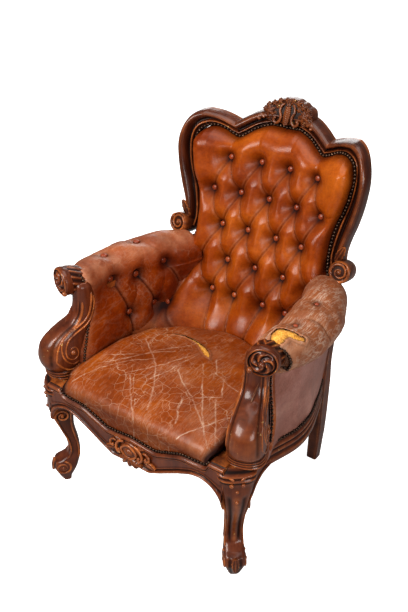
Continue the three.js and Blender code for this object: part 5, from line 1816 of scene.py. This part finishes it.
def build_nails():
    """The nails round the back, down the posts, along the rails and round the outside back."""
    line = [[262, 634], [246, 637], [236, 650]]
    line += [[x + 4.0, z] if z < 930 else [x + 4.0 * 0.3, z + 4] for x, z in STILE_INNER[1:-1]]
    line += [[141, 960]] + [[x, z + 4] for x, z in CREST_INNER[1:]]
    half = curve(line, 300)
    half[:, 0] = np.maximum(half[:, 0], 0)
    path = np.concatenate([half, (half * [-1, 1])[::-1][1:]])
    flat = np.stack([path[:, 0], back_y(path[:, 0], path[:, 1]) - 8.5, path[:, 1]], -1)
    nail_row("back_nail_heads", flat, np.array([0, -1, 0.33]), "back_nails", 10.6, 5.5)
    post = Upright(POST_ROWS, POST_CENTRE, POST_TURN, 120)
    rear_s, rear_z, width = post.rows.T[2:]
    pick = (rear_z > 412) & (rear_z < 636)
    corner = post.place(rear_s[pick] - 3.0, width[pick] / 2 + 0.5, rear_z[pick])
    for sign in (1, -1):
        label = SIDES[sign]
        points, normals = ARM_EDGES[sign]
        lead = points[2] + normals[2] * 2.4 + post.forward * 3.0
        height = points[2][:, 2]
        crest = int(np.argmax(height))
        start = int(np.argmax(height > 408))
        inner = (lead[start:crest], normals[2][start:crest] + 0.4 * post.forward)
        outer_leather = slice(crest + 4, len(lead) - 14)
        post_side = np.tile(post.across - 0.2 * post.forward, (len(corner), 1))
        outer = (
            np.concatenate([lead[outer_leather], corner[::-1]]),
            np.concatenate([normals[2][outer_leather] + 0.4 * post.forward, post_side]),
        )
        for key, (p, normal) in (("outer", outer), ("inner", inner)):
            if sign < 0:
                p, normal = p * [-1, 1, 1], normal * [-1, 1, 1]
            nail_row(key + "_post_nail_heads_" + label, p, normal, key + "_post_nails_" + label)
        rail = curve(SIDE_RAIL, 200)
        rail = rail[(rail[:, 1] > -212) & (rail[:, 1] < 196)]
        out = np.column_stack([outward_of(rail), np.zeros(len(rail))])
        p = np.stack([rail[:, 0], rail[:, 1], np.full(len(rail), 354.5)], 1) - out * 2.2
        if sign < 0:
            p, out = p * [-1, 1, 1], out * [-1, 1, 1]
        nail_row("side_nail_heads_" + label, p, out, "side_nails_" + label)
    xs = np.linspace(-257, 257, 200)
    z = table(APRON_UPPER, 0, np.abs(xs))[:, 1] + 5.2
    p = np.stack([xs, np.full(200, -335.0), z], 1)
    nail_row("front_nail_heads", p, np.array([0, -1.0, 0]), "front_nails")
    zs = np.linspace(REAR_LOW, REAR_HIGH, 60)
    half = table(REAR_PANEL, 0, zs)[:, 1] - 6
    ring = list(zip(half, rear_y(half, zs), np.clip(zs, 358, 979)))
    top = [(h, back_y(h, 979.0) + REAR_DEPTH, 979.0) for h in np.linspace(228, -228, 40)]
    left = [(-x, y, z) for x, y, z in ring[::-1]]
    bottom = [(h, 247.0, 358.0) for h in np.linspace(-250, 250, 40)]
    loop = np.array(ring + top + left + bottom) + [0, 1.0, 0]
    nail_row("rear_nail_heads", loop, np.array([0, 1.0, -0.2]), "rear_nails", 11.0)


build_nails()


def build_webbing():
    """Three jute straps across the back, inside the frame."""
    solid = Solid()
    for k in (1, 2, 3):
        low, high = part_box("back_strap_%d" % k)
        z0, z1 = low[2] * 1000, high[2] * 1000
        xs = np.linspace(-226, 226, 60)
        zs = np.linspace(z0, z1, 12)
        x, z = np.meshgrid(xs, zs, indexing="ij")
        y = back_y(x, z) + 24 + 1.2 * np.sin(x / 31.0)
        front = np.stack([x, y, z], -1)
        slab(solid, front, front + [0, 2.4, 0])
    piece("back_webbing", solid, WEBBING, ("back_strap_1", "back_strap_2", "back_strap_3"))


build_webbing()

# ---------------------------------------------------------------- materials of the CAD nodes that show

for node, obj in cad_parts.items():
    if obj.hide_render:
        continue
    material = INNER_WOOD
    if "strap" in node:
        material = WEBBING
    if node == "rear_rail" or node.startswith("arm_rail"):
        material = LEG_WOOD
    if obj.material_slots:
        obj.material_slots[0].link = "OBJECT"
        obj.material_slots[0].material = material
    else:
        obj.data.materials.append(material)

# ---------------------------------------------------------------- floor, light and camera


FLOOR_HALF, FLOOR_GLOW, FLOOR_BOUNCE = 40.0, 0.82, (0.42, 0.42, 0.42)
WORLD_LIGHT, BACKDROP_LIGHT = 0.20, 1.1
CAMERA_PLACE, CAMERA_TILT, CAMERA_TURN, CAMERA_LENS = (1.122, -1.549 + DY * 0.001, 1.756), 31.22, 35.92, 46.4


def build_floor():
    """A pale floor that shows evenly bright and throws back only a soft light."""
    work = bmesh.new()
    bmesh.ops.create_grid(work, x_segments=24, y_segments=24, size=FLOOR_HALF)
    for v in work.verts:
        v.co.z = 0.0
    mesh = bpy.data.meshes.new("floor")
    work.to_mesh(mesh)
    work.free()
    floor = bpy.data.objects.new("floor", mesh)
    bpy.context.scene.collection.objects.link(floor)
    m = Nodes("pale_floor")
    tone = m.ramp(m.noise(1.5, 2.0), [(0.3, (0.90, 0.90, 0.90)), (0.7, (0.93, 0.93, 0.93))])
    seen = m.node("ShaderNodeLightPath").outputs["Is Camera Ray"]
    m.tree.links.new(m.times(seen, FLOOR_GLOW), m.shader.inputs["Emission Strength"])
    tone = m.mix(seen, FLOOR_BOUNCE, tone)
    mesh.materials.append(m.done(tone, 0.8, Specular_IOR_Level=0.1, Emission_Color=(1, 1, 1, 1)))


def area_light(name, place, target, size, power, colour=(1, 1, 1)):
    data = bpy.data.lights.new(name, "AREA")
    data.shape = "RECTANGLE"
    data.size, data.size_y = size
    data.energy = power
    data.color = colour
    light = bpy.data.objects.new(name, data)
    bpy.context.scene.collection.objects.link(light)
    light.location = place
    light.rotation_euler = (Vector(target) - Vector(place)).to_track_quat("-Z", "Y").to_euler()


build_floor()
area_light("key", (-0.5, -2.1, 2.3), (0, 0, 0.6), (1.5, 1.3), 74, (1.0, 0.985, 0.96))
area_light("fill", (2.6, -1.2, 1.5), (0, 0, 0.5), (1.2, 1.2), 34)
area_light("rear", (-1.5, 2.6, 1.7), (0, 0.2, 0.5), (1.4, 1.4), 15)
area_light("top", (0.2, 0.3, 3.0), (0, 0, 0.5), (2.0, 1.6), 26)

world = bpy.data.worlds.new("studio")
world.use_nodes = True
sky = world.node_tree
background = sky.nodes["Background"].inputs
background["Color"].default_value = (1, 1, 1, 1)
background["Strength"].default_value = WORLD_LIGHT
backdrop = sky.nodes.new("ShaderNodeMath")
backdrop.operation = "MULTIPLY_ADD"
backdrop.inputs[1].default_value = BACKDROP_LIGHT - WORLD_LIGHT
backdrop.inputs[2].default_value = WORLD_LIGHT
sky.links.new(sky.nodes.new("ShaderNodeLightPath").outputs["Is Camera Ray"], backdrop.inputs[0])
sky.links.new(backdrop.outputs[0], background["Strength"])
scene = bpy.context.scene
scene.world = world
scene.view_settings.view_transform = "Standard"
scene.view_settings.look = "Medium High Contrast"

camera_data = bpy.data.cameras.new("camera")
camera_data.sensor_width = 36.0
camera_data.lens = CAMERA_LENS
camera = bpy.data.objects.new("camera", camera_data)
camera.location = CAMERA_PLACE
camera.rotation_euler = (math.radians(90 - CAMERA_TILT), 0, math.radians(CAMERA_TURN))
scene.collection.objects.link(camera)
scene.camera = camera
